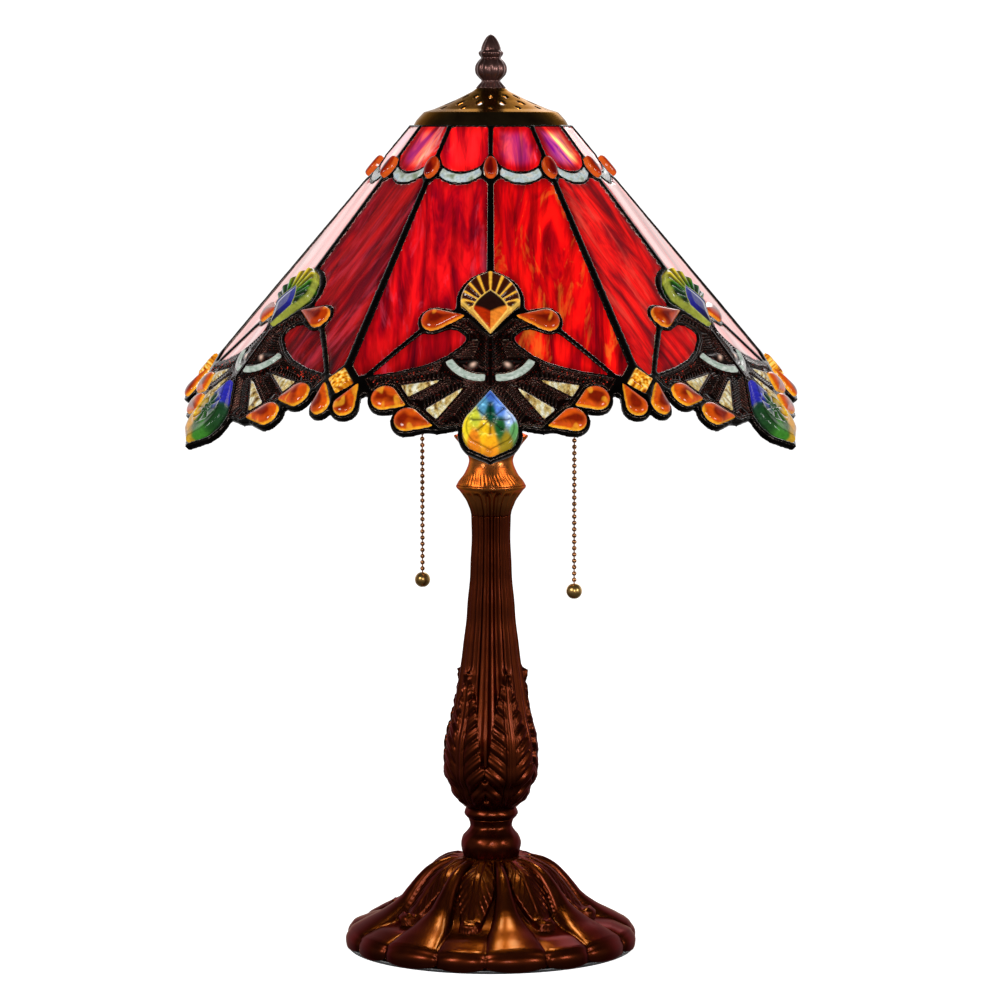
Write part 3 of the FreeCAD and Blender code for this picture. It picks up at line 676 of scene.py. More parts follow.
class Fold:
    """Two panels either side of a motif's seam, as one pair of coordinates."""

    def __init__(self, number):
        self.number = number
        turn = math.radians(30 * number)
        self.side = Vector((math.cos(turn), math.sin(turn), 0))
        middle = np.array(self.side)
        front = seam(30 * number) * (1, 1, 0)
        self.panels = [panel_plane(front + 0.2 * middle * sign) for sign in (1, -1)]

    def flat(self, points):
        self.right = (points @ np.array(self.side) > 0)[:, None]
        return np.where(self.right, self.panels[0].flat(points), self.panels[1].flat(points))

    def space(self, flat):
        return np.where(self.right, self.panels[0].space(flat), self.panels[1].space(flat))

    def faces_out(self, normal):
        return any(panel.faces_out(normal) for panel in self.panels)


def motif_fold(centre):
    return Fold(round(azimuth_of(centre) / 60) * 2 % PANELS)


def azimuth_of(point):
    return math.degrees(math.atan2(point[0], -point[1])) % 360


def panel_plane(centre):
    """The plane of the panel that holds a point. Across runs away from the motif's seam."""
    number = int(azimuth_of(centre) // 30) % PANELS
    near, far = (number, number + 1) if number % 2 == 0 else (number + 1, number)
    down, other = seam(30 * near), seam(30 * far)
    across = other - down * (other @ down)
    return Plane(down, across / np.linalg.norm(across), number)


def ridge_plane(centre):
    """The plane square to a seam, for a jewel that sits astride it."""
    number = round(azimuth_of(centre) / 30) % PANELS
    turn = math.radians(30 * number)
    return Plane(seam(30 * number), np.array([math.cos(turn), math.sin(turn), 0]), number)


def outline_of(solid, plane):
    """The edges round a flat solid's outer face, in its plane: starts and ends."""
    solid.normal_update()
    top = {face for face in solid.faces if plane.faces_out(face.normal)}
    rim = [edge for edge in solid.edges if sum(face in top for face in edge.link_faces) == 1]
    ends = np.array([[vertex.co for vertex in edge.verts] for edge in rim])
    return plane.flat(ends[:, 0])[:, :2], plane.flat(ends[:, 1])[:, :2]


def distance_to(outline, places):
    """How far each place is from the nearest edge of an outline."""
    start, end = outline
    along = end - start
    nearest = np.full(len(places), 1e9)
    for first, run in zip(start, along):
        share = np.clip((places - first) @ run / max(run @ run, 1e-9), 0, 1)
        gap = np.linalg.norm(places - first - share[:, None] * run, axis=1)
        nearest = np.minimum(nearest, gap)
    return nearest


class Piece:
    """What a shape or tint function may use of one solid: places, depth and its numbers."""

    def __init__(self, plane, flat, outline):
        self.plane = plane
        self.across, self.down, self.out = flat.T
        self.edge = distance_to(outline, flat[:, :2])
        corners = np.vstack(outline)
        self.centre = (corners.min(0) + corners.max(0)) / 2
        self.half = (corners.max(0) - corners.min(0)) / 2
        self.deep = self.edge.max()
        self.top = smoothstep(self.out, -0.6, 0.6)


def outward(points, quads):
    """The unit normal at every point of a mesh of quads."""
    quads = np.array(quads)
    first, second, third, fourth = points[quads.T]
    normals = np.zeros_like(points)
    for corner in range(4):
        np.add.at(normals, quads[:, corner], np.cross(third - first, fourth - second))
    return normals / (np.linalg.norm(normals, axis=1)[:, None] + 1e-15)


def pieces_like(node, name, material, voxel, shape, tint, plane_of=panel_plane, smooth=2,
                grow=0.0):
    """Rebuild each flat solid of a node on an even mesh, pushed out by shape(piece). A piece
    that is held in a channel grows into it."""
    points, faces, tints, flats = [], [], [], []
    total = 0
    for solid in islands(node):
        corners = np.array([vertex.co for vertex in solid.verts])
        plane = plane_of(corners.mean(0))
        outline = outline_of(solid, plane)
        places, quads = remeshed(solid, voxel, smooth)
        flat = plane.flat(places)
        piece = Piece(plane, flat, outline)
        flat[:, 2] += shape(piece)
        if grow:
            flat[:, :2] += grow * (outward(places, quads) @ plane.rows.T)[:, :2]
        points.append(plane.space(flat))
        tints.append(tint(piece))
        flats.append(np.c_[piece.across, piece.down, np.full(len(flat), 10.0 * plane.number)])
        faces += [tuple(index + total for index in quad) for quad in quads]
        total += len(flat)
        solid.free()
    thing = mesh_object(name, np.vstack(points), faces, np.vstack(tints))
    layer = thing.data.attributes.new("flat", "FLOAT_VECTOR", "POINT")
    layer.data.foreach_set("vector", np.vstack(flats).astype(np.float32).ravel())
    thing.visible_glossy = False
    thing.visible_diffuse = False
    return settle(thing, material, node)


def dome(piece, rise, reach, under=0.25):
    """A cushion: it rises within reach of its edge, and a little on its under side."""
    share = np.clip(piece.edge / reach, 0, 1)
    curve = np.sqrt(np.clip(1 - (1 - share) ** 2, 0, 1))
    return rise * curve * (piece.top - under * (1 - piece.top))


def cushion(rise, reach=None, under=0.25):
    """A shape that is a plain dome, over a reach from its edge or over all of its depth."""
    return lambda piece: dome(piece, rise, reach or piece.deep, under)


def blend(colours, share):
    """Colours in equal steps, blended by a share from 0 to 1."""
    colours = np.array(colours, float)
    place = np.clip(share, 0, 1) * (len(colours) - 1)
    low = np.minimum(place.astype(int), len(colours) - 2)
    part = (place - low)[:, None]
    return colours[low] * (1 - part) + colours[low + 1] * part


def over(under, paint, share):
    """Paint laid over colours, by a share for each of them."""
    share = share[:, None]
    return under * (1 - share) + share * np.array(paint)


# ---------------------------------------------------------------- glass
def streaky_glass():
    """Hand-rolled red glass, lit from behind: streaks and pale wisps run down the slope."""
    graph = Graph("streaky_red_glass")
    flat = graph.coordinates((0.062, 0.0105, 1.0), "flat")
    fine = graph.coordinates((0.15, 0.016, 1.7), "flat")
    wisp_place = graph.coordinates((0.060, 0.012, 2.3), "flat")
    broad = graph.noise(flat, 1.0, 4, 0.58, 1.3)
    streak = graph.noise(fine, 1.0, 4, 0.6, 0.5)
    red = graph.ramp(broad, [(0.30, (0.14, 0.0, 0.008)), (0.42, (0.34, 0.001, 0.007)),
                             (0.50, (0.62, 0.003, 0.006)), (0.60, (0.92, 0.010, 0.008))])
    lines = graph.ramp(streak, [(0.36, (0.50, 0.48, 0.60)), (0.56, (1.06, 1.03, 1.02))])
    colour = graph.mix("MULTIPLY", 1.0, red, lines)
    colour = graph.mix("MULTIPLY", 1.0, colour, graph.stored("tint"))
    wisp = graph.ramp(graph.noise(wisp_place, 1.0, 5, 0.66, 1.4), [(0.55, 0), (0.71, 1)])
    amount = graph.mix("MULTIPLY", 1.0, wisp, graph.stored("wisp"))
    colour = graph.mix("SCREEN", 1.0, colour, amount)
    edge_on = (graph.add("LayerWeight"), "Facing")
    # Painted reflection: seen edge-on, the glow turns pale pink.
    painted_sheen = graph.ramp(edge_on, [(0.70, 0), (0.88, 0.8)])
    colour = graph.mix("MIX", painted_sheen, colour, (0.95, 0.60, 0.55))
    graph.join(graph.ramp(edge_on, [(0.60, 0.04), (0.85, 0.9)]), graph.shader, "Coat Weight")
    graph.join(colour, graph.shader, "Emission Color")
    graph.join(graph.mix("MULTIPLY", 1.0, colour, (0.12, 0.10, 0.10)), graph.shader, "Base Color")
    graph.set(Emission_Strength=0.95, Roughness=0.3, Coat_Roughness=0.03, Specular_IOR_Level=0.1)
    graph.bump(graph.noise(fine, 0.6, 3), 0.12, 0.001)
    return graph.material


UPPER_END = 118.0
UPPER_LIGHT = np.array((1.75, 1.7, 1.7))
DARK_LOW, DARK_FROM, DARK_TO = 0.48, 205, 285
PANEL_TINTS = {0: (1.26, 0.7, 0.6), 11: (1.05, 0.6, 1.2), 1: (1.00, 0.7, 0.7),
               10: (0.56, 0.6, 0.9), 2: (1.25, 1.6, 1.4), 9: (1.0, 2.0, 2.0),
               3: (1.1, 1.2, 1.2), 8: (1.1, 1.3, 1.3)}
PLAIN_WISP = (0.30, 0.10, 0.10)
PANEL_WISPS = {0: (0.50, 0.14, 0.01), 11: (0.28, 0.03, 0.06), 1: (0.38, 0.04, 0.025),
               10: (0.24, 0.018, 0.035), 9: (0.62, 0.46, 0.46), 2: (0.66, 0.50, 0.46)}
UPPER_WISPS = {0: (0.45, 0.16, 0.36), 11: (0.40, 0.03, 0.03), 1: (0.95, 0.50, 0.28),
               10: (0.60, 0.30, 0.32), 9: (0.5, 0.35, 0.32), 2: (0.6, 0.4, 0.35)}
UPPER_HEARTS = {0: (0.85, 20, 16), 11: (0.95, 1.2, 1.4), 1: (1.4, 84, 30), 10: (1.2, 28, 13),
                2: (1, 34, 26), 9: (1, 34, 26)}


def red_tint(piece):
    """The panel's own shade of red, darker along the lead. The small upper panes are brighter,
    with a heart of their own colour, and two panels darken towards the rim."""
    tint = np.array(PANEL_TINTS.get(piece.plane.number, (1, 1, 1)))
    if piece.centre[1] < UPPER_END:
        heart = np.array(UPPER_HEARTS.get(piece.plane.number, (1.1, 4, 8)))
        depth = smoothstep(piece.edge, 1.5, 10.0)[:, None]
        tint = UPPER_LIGHT * (0.5 + 0.5 * tint) * (1 + depth * (heart - 1))
    low = DARK_LOW * smoothstep(piece.down, DARK_FROM, DARK_TO) * (piece.plane.number in (10, 11))
    return tint * ((1 - low) * (0.62 + 0.38 * smoothstep(piece.edge, 0, 7)))[:, None]


def rolled(piece):
    """The faint waves of hand-rolled sheet."""
    places = np.c_[piece.across * 0.06, piece.down * 0.02, piece.top * 0 + piece.plane.number]
    return 0.35 * noise_field(places, 1.0) * smoothstep(piece.edge, 0.5, 5)


def build_red_glass():
    glass = streaky_glass()
    for node, name, voxel in (("main_glass_panels", "main_glass_streaked", 1.9),
                              ("upper_glass_panels", "upper_glass_streaked", 1.3),
                              ("lower_glass_panels", "lower_glass_streaked", 1.3)):
        thing = pieces_like(node, name, glass, voxel, rolled, red_tint, smooth=1, grow=1.2)
        number = np.zeros(len(thing.data.vertices) * 3, np.float32)
        thing.data.attributes["flat"].data.foreach_get("vector", number)
        panel = np.rint(number.reshape(-1, 3)[:, 2] / 10).astype(int)
        wisps = UPPER_WISPS if node.startswith("upper") else PANEL_WISPS
        store_colours(thing.data, "wisp", [wisps.get(index, PLAIN_WISP) for index in panel])


def mottled(piece, scale, seed, stretch=1.0):
    """Noise from 0 to 1 over a piece, in its own plane."""
    panel = np.full(len(piece.edge), 7.0 * piece.plane.number)
    places = np.c_[piece.across, piece.down / stretch, panel]
    return 0.5 + 0.5 * np.clip(1.6 * noise_field(places, scale, seed), -1, 1)


def drop_tint(edge, body, heart):
    """Pressed glass: a rich body and a dark heart. Painted highlights give it a thin bright edge
    and bright squiggles, painted light makes its upper end lighter, and painted shade darkens its
    walls.
    """
    def tint(piece):
        # Painted highlight: a thin bright edge round the top face.
        rim = (1 - smoothstep(piece.edge, 0.1, 0.55)) * smoothstep(piece.top, 0.7, 1.0)
        # Painted light: lighter at the upper end, darker at the lower end.
        side = (piece.down - piece.centre[1]) / piece.half[1] * 0.25
        blotch = (mottled(piece, 0.13, 4.0) - 0.5) * 0.5
        share = np.clip(piece.edge / piece.deep, 0, 1) * 0.9 + blotch + side
        colour = blend([body, body, heart, heart], share)
        # Painted highlights: bright squiggles in the edge colour. Painted shade then darkens the
        # walls and under side.
        painted_glint = smoothstep(mottled(piece, 0.20, 7.0, 1.6), 0.78, 0.95) * 0.6
        colour = over(colour, edge, painted_glint) * (0.35 + 0.65 * piece.top)[:, None]
        return over(colour, edge, rim)
    return tint


def crescent_tint(piece):
    streaks = mottled(piece, 0.35, 1, 0.5) * 0.7 + mottled(piece, 1.0, 2) * 0.3
    return blend([(0.30, 0.42, 0.33), (0.62, 0.74, 0.64), (0.95, 1.0, 0.92)], streaks)


def pearl_tint(piece):
    shade = blend([(0.30, 0.38, 0.24), (0.74, 0.82, 0.74), (0.62, 0.78, 0.85),
                   (0.98, 0.96, 0.86)], mottled(piece, 0.22, 2))
    return shade * (0.75 + 0.5 * mottled(piece, 0.9, 5))[:, None]


def wedge_shape(piece):
    """Rippled sheet with a soft edge."""
    ripple = np.sin(piece.across * 1.1 + 3 * mottled(piece, 0.15, 3)) * 0.35
    return dome(piece, 0.9, 2.0) + ripple * smoothstep(piece.edge, 0.6, 2) * piece.top


def wedge_tint(piece):
    share = mottled(piece, 0.42, 8, 2.5) * 1.1 + 0.5 * mottled(piece, 1.2, 3, 2) - 0.16
    return blend([(0.06, 0.02, 0.004), (0.36, 0.20, 0.04), (0.72, 0.50, 0.16), (0.76, 0.62, 0.26),
                  (0.96, 0.92, 0.70)], share)


def hammered(piece):
    return dome(piece, 1.6, 2.5) + 0.5 * (mottled(piece, 0.55, 1) - 0.5) * piece.top


def hammered_tint(piece):
    return blend([(0.28, 0.05, 0.0), (0.75, 0.22, 0.005), (1.0, 0.46, 0.02), (1.0, 0.80, 0.22)],
                 1.3 * mottled(piece, 0.6, 9) - 0.15)


# ---------------------------------------------------------------- fan and kite jewels
FAN_HEART, FAN_WIDEST, FAN_HALF, FAN_RIBS = 232.0, 233.5, 11.0, 18.0


def fan_parts(piece):
    """Where a point is on a fan: its rib wave, and how far inside the pointed middle it is."""
    up = FAN_HEART - piece.down
    turn = np.degrees(np.arctan2(piece.across, up))
    wave = 0.5 + 0.5 * np.cos(np.radians(turn * 360 / FAN_RIBS))
    upper = FAN_HALF * (1 - np.clip((FAN_WIDEST - piece.down) / 15.0, 0, 1) ** 1.7)
    lower = FAN_HALF * np.clip((FAN_WIDEST + 17.0 - piece.down) / 17.0, 0, 1)
    reach = np.where(piece.down < FAN_WIDEST, upper, lower)
    inner = np.where(piece.down < 218.4, -2.0, reach - np.abs(piece.across))
    return turn, wave, inner


def fan_shape(piece):
    _, wave, inner = fan_parts(piece)
    outer = smoothstep(-inner, 0.2, 1.2)
    ribs = 1.3 * wave * smoothstep(piece.edge, 0.2, 1.6)
    facet = 1.4 * np.clip(inner / 6, 0, 1)
    line = 1.0 * bump_at(inner, 0.0, 0.7)
    return dome(piece, 1.8, 3.0) + (outer * ribs + facet + line) * piece.top


def fan_tint(piece):
    """The front and back fans are amber; the ones between run from yellow to green and blue."""
    turn, wave, inner = fan_parts(piece)
    rib = smoothstep(wave, 0.45, 0.98)
    # Painted highlights: a bright top edge and a bright line round the pointed middle, in the
    # glint colour.
    edge = bump_at(piece.edge, 0.1, 0.6) * piece.top
    line = bump_at(inner, 0.0, 0.45)
    if piece.plane.number % 6:
        share = (piece.down - 203) / 25 + 0.12 * np.abs(piece.across) / 10
        body = blend([(0.72, 0.52, 0.02), (0.85, 0.62, 0.03), (0.42, 0.40, 0.02),
                      (0.03, 0.20, 0.01), (0.01, 0.06, 0.01)],
                     share + 0.25 * (mottled(piece, 0.1, 2) - 0.5))
        body = body * (0.22 + 0.85 * rib)[:, None]
        heart = blend([(0.04, 0.05, 0.28), (0.01, 0.01, 0.22), (0.01, 0.01, 0.04)],
                      np.clip((piece.down - 222) / 22, 0, 1))
        painted_glint = (0.34, 0.36, 0.05)
    else:
        body = blend([(0.035, 0.004, 0.0), (0.12, 0.012, 0.0), (0.90, 0.46, 0.04)], rib ** 1.5)
        body = over(body, (0.85, 0.22, 0.01), smoothstep(np.abs(turn), 84, 104))
        # Painted light on the dark middle's lower facets: lit orange on the right, darker red on
        # the left.
        left = np.where(piece.across < 0, 1.0, 0.0)
        facet = over(np.array((0.80, 0.22, 0.02)), (0.42, 0.02, 0.0), left)
        low = smoothstep(piece.down + 0.55 * np.abs(piece.across), 235.0, 237.5)
        heart = over(np.array((0.012, 0.002, 0.001)), facet, low)
        painted_glint = (1.0, 0.62, 0.12)
    # Painted shade: the walls and under side are darker than the top; the painted highlights go
    # over all.
    colour = over(body, heart, smoothstep(inner, -0.2, 0.4)) * (0.3 + 0.7 * piece.top)[:, None]
    return over(colour, painted_glint, np.clip(np.maximum(line, 0.8 * edge), 0, 1))


KITE_HALF, KITE_TOP, KITE_LENGTH, ROSETTE_PLACE = 17.2, 294.8, 50.0, 319.0
KITE_SPOTS = {
    "front": (
        (0.0, 0.04, (0.05, 0.14, 0.55)), (-0.3, 0.26, (0.10, 0.34, 0.55)),
        (0.35, 0.26, (0.12, 0.28, 0.85)), (0.75, 0.48, (0.45, 0.62, 1.0)),
        (0.85, 0.62, (0.12, 0.36, 0.10)), (-0.55, 0.44, (0.60, 0.62, 0.04)),
        (-0.9, 0.62, (0.95, 0.72, 0.02)), (0.0, 0.40, (0.0, 0.06, 0.03)),
        (0.35, 0.62, (0.01, 0.10, 0.02)), (-0.2, 0.64, (0.95, 0.55, 0.01)),
        (0.0, 0.80, (1.0, 0.44, 0.01)), (-0.6, 0.80, (0.80, 0.22, 0.01)),
        (0.6, 0.82, (0.32, 0.22, 0.01)), (0.0, 0.98, (0.75, 0.24, 0.01)),
    ),
    "side": (
        (0.0, 0.04, (0.03, 0.03, 0.40)), (0.5, 0.25, (0.02, 0.02, 0.36)),
        (-0.5, 0.28, (0.45, 0.30, 0.02)), (-0.8, 0.6, (0.75, 0.42, 0.02)),
        (0.0, 0.45, (0.01, 0.06, 0.01)), (0.7, 0.55, (0.01, 0.05, 0.01)),
        (0.1, 0.7, (0.02, 0.10, 0.01)), (0.5, 0.85, (0.04, 0.20, 0.02)),
        (-0.5, 0.82, (0.80, 0.38, 0.02)), (0.0, 0.98, (0.50, 0.28, 0.02)),
    ),
}


def kite_rosette(piece):
    """A cut star: rays from its middle, inside a ring of small facets."""
    across, down = piece.across, piece.down - ROSETTE_PLACE
    reach = np.hypot(across, down)
    turn = np.degrees(np.arctan2(across, down))
    rays = np.abs(np.sin(np.radians(turn * 4)))
    ring = bump_at(reach, 12.0, 1.0) + 0.8 * bump_at(reach, 4.2, 0.8)
    return rays, ring, reach


def kite_shape(piece):
    rays, ring, reach = kite_rosette(piece)
    star = -1.0 * (1 - rays ** 0.6) * smoothstep(reach, 13.5, 10.5) + 0.6 * ring
    return dome(piece, 2.6, 4.5) + star * piece.top


def kite_tint(piece):
    spots = KITE_SPOTS["side" if piece.plane.number % 6 else "front"]
    across, down = piece.across / KITE_HALF, (piece.down - KITE_TOP) / KITE_LENGTH
    if 0 < piece.plane.number < 6:
        across = -across
    weight = [1 / (((across - aside) * 0.8) ** 2 + (down - low) ** 2 + 0.002) ** 3
              for aside, low, _ in spots]
    total = sum(weight)
    colour = sum((share / total)[:, None] * np.array(paint)
                 for share, (_, _, paint) in zip(weight, spots))
    rays, ring, reach = kite_rosette(piece)
    colour = over(colour, colour * 0.12, (1 - rays) ** 2 * smoothstep(reach, 14, 11))
    bevel = 1 - 0.6 * bump_at(piece.edge, 2.6, 0.45)[:, None]
    # Painted shade: the walls and under side are darker than the top.
    colour = colour * bevel * (0.4 + 0.6 * piece.top)[:, None]
    # Painted highlights: bright flecks round the rosette's ring.
    painted_glint = np.clip(0.75 * ring * smoothstep(mottled(piece, 0.5, 3), 0.4, 0.8), 0, 1)
    return over(colour, np.clip(colour * 2.2 + 0.12, 0, 1.2), painted_glint)


# ---------------------------------------------------------------- metal of the shade
BARB_CENTRE, BARB_PITCH, EYE_PLACE = 250.0, 2.3, 273.0


def filigree_shape(piece):
    """Feathered bands: a raised border, a groove inside it and fine barbs across."""
    reach = np.hypot(piece.across, piece.down - BARB_CENTRE)
    barbs = np.cos(2 * math.pi * (reach + 0.8 * piece.edge) / BARB_PITCH)
    inside = smoothstep(piece.edge, 1.2, 1.9)
    border = 1.0 - 0.7 * bump_at(piece.edge, 1.5, 0.5)
    return (border + inside * (0.65 * barbs - 0.35)) * piece.top


def filigree_tint(piece):
    """Painted light: spots that glow, standing for the lamp light that shows through its small
    piercings.
    """
    across, down = piece.across, piece.down
    aside = np.abs(across) - 10.3 - 0.25 * (down - EYE_PLACE)
    eye = np.exp(-(aside / 1.7) ** 2 - ((down - EYE_PLACE - 0.2) / 1.5) ** 2)
    speck = smoothstep(mottled(piece, 1.15, 6), 0.90, 0.97)
    band = bump_at(down - 0.06 * across, 272.5, 3.0) * smoothstep(across, 30, 40)
    return (np.outer(eye * piece.top, (0.85, 0.55, 0.42))
            + np.outer(speck * (0.12 + band) * piece.top, (0.9, 0.05, 0.02)))


def pierced_metal():
    graph = Graph("filigree_patina")
    where = graph.coordinates()
    blotch = graph.noise(where, 130, 4)
    colour = graph.ramp(blotch, [(0.35, (0.004, 0.0012, 0.0006)), (0.66, (0.020, 0.004, 0.0026))])
    colour = graph.worn(colour, (0.15, 0.075, 0.05), 0.525, 0.60, 0.9)
    graph.join(colour, graph.shader, "Base Color")
    # Painted light: the tint glows where the piercings would let lamp light through.
    graph.join(graph.stored("tint"), graph.shader, "Emission Color")
    graph.set(Emission_Strength=1.0, Metallic=0.9, Roughness=0.28)
    graph.bump(graph.noise(where, 1400, 3), 0.15, 0.0003)
    return graph.material


def remeshed_node(node, voxel, smooth):
    """The whole of a CAD node on an even mesh."""
    whole = welded(NODES[node].data)
    arrays = remeshed(whole, voxel, smooth)
    whole.free()
    return arrays


def build_came():
    """The lead lines as rounded, slightly lumpy solder that laps over the edges of the glass."""
    points, faces = remeshed_node("came_lattice", 1.0, 3)
    piece = mesh_object("came_soldered", points, faces)
    normals = np.zeros(len(points) * 3)
    piece.data.vertices.foreach_get("normal", normals)
    lumps = noise_field(points, 130) + 0.5 * noise_field(points, 420, 5)
    swell = np.interp(points[:, 2] / MM, [430, 475, 520, 545], [0.30, 0.0, -0.30, 0.0])
    points = points + normals.reshape(-1, 3) * (swell + 0.10 * lumps)[:, None] * MM
    piece.data.vertices.foreach_set("co", points.ravel())
    piece.data.update()
    settle(piece, CAME, "came_lattice")


def build_cap():
    """The pierced cap, with a rolled brim. The warm glow behind its holes comes from a lamp of
    its own, set up in bulb_light.
    """
    points, faces = remeshed_node("vented_cap", 0.75, 1)
    reach = np.hypot(points[:, 0], points[:, 1])[:, None] / MM
    brim = smoothstep(reach, 46.0, 49.5)
    points[:, :2] *= 1 + 1.6 * brim / np.maximum(reach, 1)
    points[:, 2:] -= 2.2 * MM * brim
    settle(mesh_object("cap_pierced", points, faces), CAP, "vented_cap")


def build_shade():
    build_red_glass()
    amber = lit_glass("amber_glass", 0.95, ripple=0.35)
    ruby = lit_glass("ruby_glass", 0.9, ripple=0.3)
    pearl = lit_glass("pearl_glass_lit", 0.62, 0.2, 260, 0.25, 0.18)
    clear = lit_glass("ripple_glass_lit", 0.72, 0.06, 420, 0.5, 0.6)
    cut = lit_glass("cut_glass", 1.0, 0.04, 240, 0.2, 0.35)
    orange = drop_tint((1.0, 0.42, 0.02), (0.66, 0.080, 0.002), (0.22, 0.010, 0.0))
    red_orange = drop_tint((0.95, 0.30, 0.02), (0.48, 0.038, 0.0), (0.16, 0.004, 0.0))
    dark_red = drop_tint((0.72, 0.10, 0.01), (0.38, 0.018, 0.0), (0.12, 0.0, 0.0))
    drop = cushion(3.4, under=0.15)
    for row in (
            ("rim_teardrops", "rim_drops", amber, 0.75, drop, orange),
            ("corner_teardrops", "corner_drops", amber, 0.75, drop, orange),
            ("side_teardrops", "side_drops", amber, 0.75, drop, red_orange),
            ("oval_jewels", "oval_cabochons", ruby, 0.7, cushion(2.2, under=0.1), dark_red,
             ridge_plane),
            ("crescent_segments", "crescents_pearly", pearl, 0.8, cushion(1.0, 2.2),
             crescent_tint),
            ("pearl_segments", "pearl_ribbon", pearl, 0.9, cushion(0.6, 2.5), pearl_tint),
            ("ripple_wedges", "wedges_rippled", clear, 0.8, wedge_shape, wedge_tint),
            ("corner_diamonds", "diamonds_hammered", amber, 0.75, hammered, hammered_tint,
             ridge_plane),
            ("fan_jewels", "fans_ribbed", cut, 0.5, fan_shape, fan_tint, ridge_plane, 1),
            ("kite_jewels", "kites_cut", cut, 0.5, kite_shape, kite_tint, ridge_plane, 1),
            ("filigree_castings", "filigree_feathered", pierced_metal(), 0.62, filigree_shape,
             filigree_tint, motif_fold, 1)):
        pieces_like(*row)
    build_came()
    build_cap()


# ---------------------------------------------------------------- materials by slot, and the rest
BRONZE_COLOURS = (0.074, 0.0105, 0.0018), (0.106, 0.0165, 0.0028)
BRONZE_EDGES = (0.18, 0.036, 0.007)
BRONZE_RIM = (0.42, 0.16, 0.03)
BRONZE_LOOK = (*BRONZE_COLOURS, 0.30, BRONZE_EDGES, 1.0, 300, 0.10)
BRONZE = cast_metal("mahogany_bronze", *BRONZE_LOOK, edge_tint=BRONZE_RIM)
# The cup and collar: the same bronze, with painted lamplight above the collar's foot.
LIT_BRONZE = cast_metal("bronze_lit_from_above", *BRONZE_LOOK, painted_lamplight_heights=(0.291, 0.304),
                        edge_tint=BRONZE_RIM)
DARK_BRONZE = cast_metal("dark_bronze", (0.105, 0.048, 0.042), (0.21, 0.105, 0.092), 0.30,
                         (0.40, 0.22, 0.18), 0.85)
CAP = cast_metal("olive_bronze", (0.026, 0.014, 0.006), (0.080, 0.050, 0.021), 0.24,
                 (0.18, 0.12, 0.05), 0.95, edge_tint=(0.75, 0.52, 0.36))
CAME = cast_metal("patinated_solder", (0.010, 0.008, 0.007), (0.030, 0.022, 0.019), 0.25,
                  (0.06, 0.05, 0.045), 1.0, 1300)
SLOT_MATERIALS = {
    "antique_brass": cast_metal("antique_brass", (0.34, 0.18, 0.05), (0.68, 0.42, 0.14), 0.28,
                                (0.85, 0.60, 0.28), 0.95, 1100),
    "copper_chain": cast_metal("copper_chain", (0.40, 0.16, 0.06), (0.62, 0.28, 0.12), 0.28,
                               (0.80, 0.42, 0.20), 1.0, 1500),
    "steel": cast_metal("zinc_steel", (0.30, 0.31, 0.31), (0.52, 0.52, 0.50), 0.32,
                        (0.70, 0.70, 0.68), 0.95, 1500),
    "iron": cast_metal("rough_iron", (0.03, 0.03, 0.03), (0.09, 0.085, 0.08), 0.6,
                       (0.16, 0.15, 0.14), 0.6, 600),
}


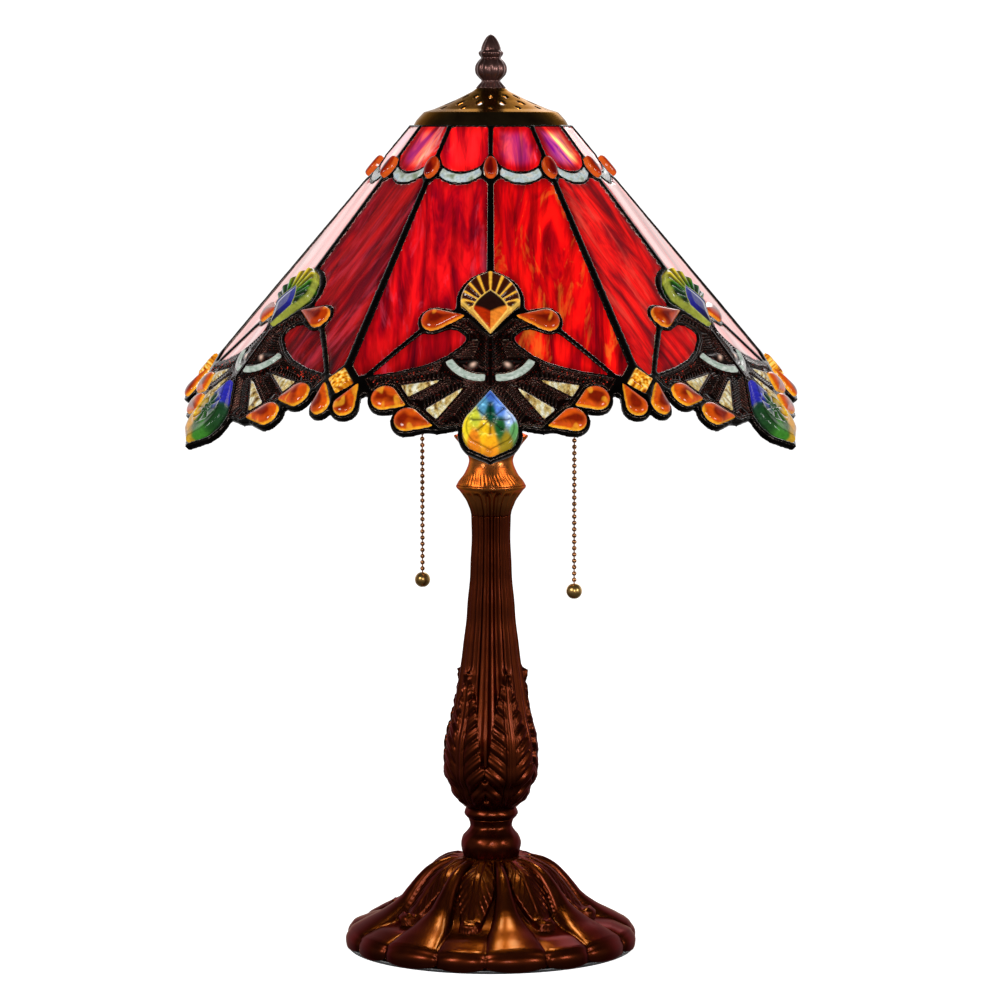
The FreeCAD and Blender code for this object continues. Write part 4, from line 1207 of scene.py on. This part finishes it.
def plain_slots():
    """Felt, moulded plastics and the frosted bulbs."""
    felt = Graph("black_felt")
    where = felt.coordinates()
    nap = felt.ramp(felt.noise(where, 900, 5),
                    [(0.3, (0.008, 0.008, 0.009)), (0.7, (0.05, 0.05, 0.055))])
    felt.join(nap, felt.shader, "Base Color")
    felt.set(Roughness=0.95, Sheen_Weight=0.5)
    felt.bump(felt.noise(where, 2200, 3), 0.6, 0.0008)
    SLOT_MATERIALS["felt"] = felt.material
    for slot, dark, light in (("phenolic", (0.015, 0.008, 0.005), (0.05, 0.03, 0.02)),
                              ("bushing_plastic", (0.008, 0.006, 0.006), (0.03, 0.022, 0.02))):
        SLOT_MATERIALS[slot] = cast_metal(slot, dark, light, 0.45, light, 0.0, 1800)
    bulb = Graph("frosted_bulb")
    where = bulb.coordinates()
    glow = bulb.ramp(bulb.noise(where, 60, 2),
                     [(0.3, (1.0, 0.80, 0.52)), (0.7, (1.0, 0.90, 0.70))])
    bulb.join(glow, bulb.shader, "Emission Color")
    bulb.set(Emission_Strength=2.2, Roughness=0.5, Base_Color=(0.9, 0.85, 0.75, 1))
    SLOT_MATERIALS["bulb_glass"] = bulb.material


def dress_nodes():
    """Every CAD node that is still shown gets its slot's material."""
    for name, node in NODES.items():
        if not node.hide_render and SLOT_OF[name] in SLOT_MATERIALS:
            node.data.materials.clear()
            node.data.materials.append(SLOT_MATERIALS[SLOT_OF[name]])


BULB_SIZE = 0.035
CUP_PIECES = ("stem_cup_fluted", "collar_ribbed")
WARM, PALE_GOLD = (1.0, 0.62, 0.28), (0.66, 1.0, 0.52)
GLOWS = (
    ("glow_left", (-0.085, -0.045, 0.415), 0.24, WARM, CUP_PIECES),
    ("glow_right", (0.085, -0.045, 0.415), 0.24, WARM, CUP_PIECES),
    ("glow_back", (0.0, 0.095, 0.415), 0.24, WARM, CUP_PIECES),
    ("glow_top", (0.0, 0.0, 0.525), 3.0, WARM, ("cap_pierced",)),
    ("glow_down_left", (-0.055, 0.03, 0.40), 3.4, PALE_GOLD, ("base_lobed",)),
    ("glow_down_right", (0.055, 0.03, 0.40), 3.4, PALE_GOLD, ("base_lobed",)),
)


def bulb_light():
    """Warm light from the bulbs, on the metal above and below them. It is given to each piece
    by name and casts no shadow, so the sockets in its way leave no patches."""
    for name, place, power, colour, pieces in GLOWS:
        lit = bpy.data.collections.new(name)
        for piece in pieces:
            lit.objects.link(bpy.data.objects[piece])
        light = add_light(name, "POINT", place, power)
        light.data.color = colour
        light.data.shadow_soft_size = BULB_SIZE
        light.data.use_shadow = False
        light.light_linking.receiver_collection = lit


plain_slots()
make_camera()
make_stage()
build_turned()
build_shade()
dress_nodes()
bulb_light()
lamp_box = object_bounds()
[[list(map(float, corner)) for corner in box[:2]] for box in (cad_box, lamp_box)]
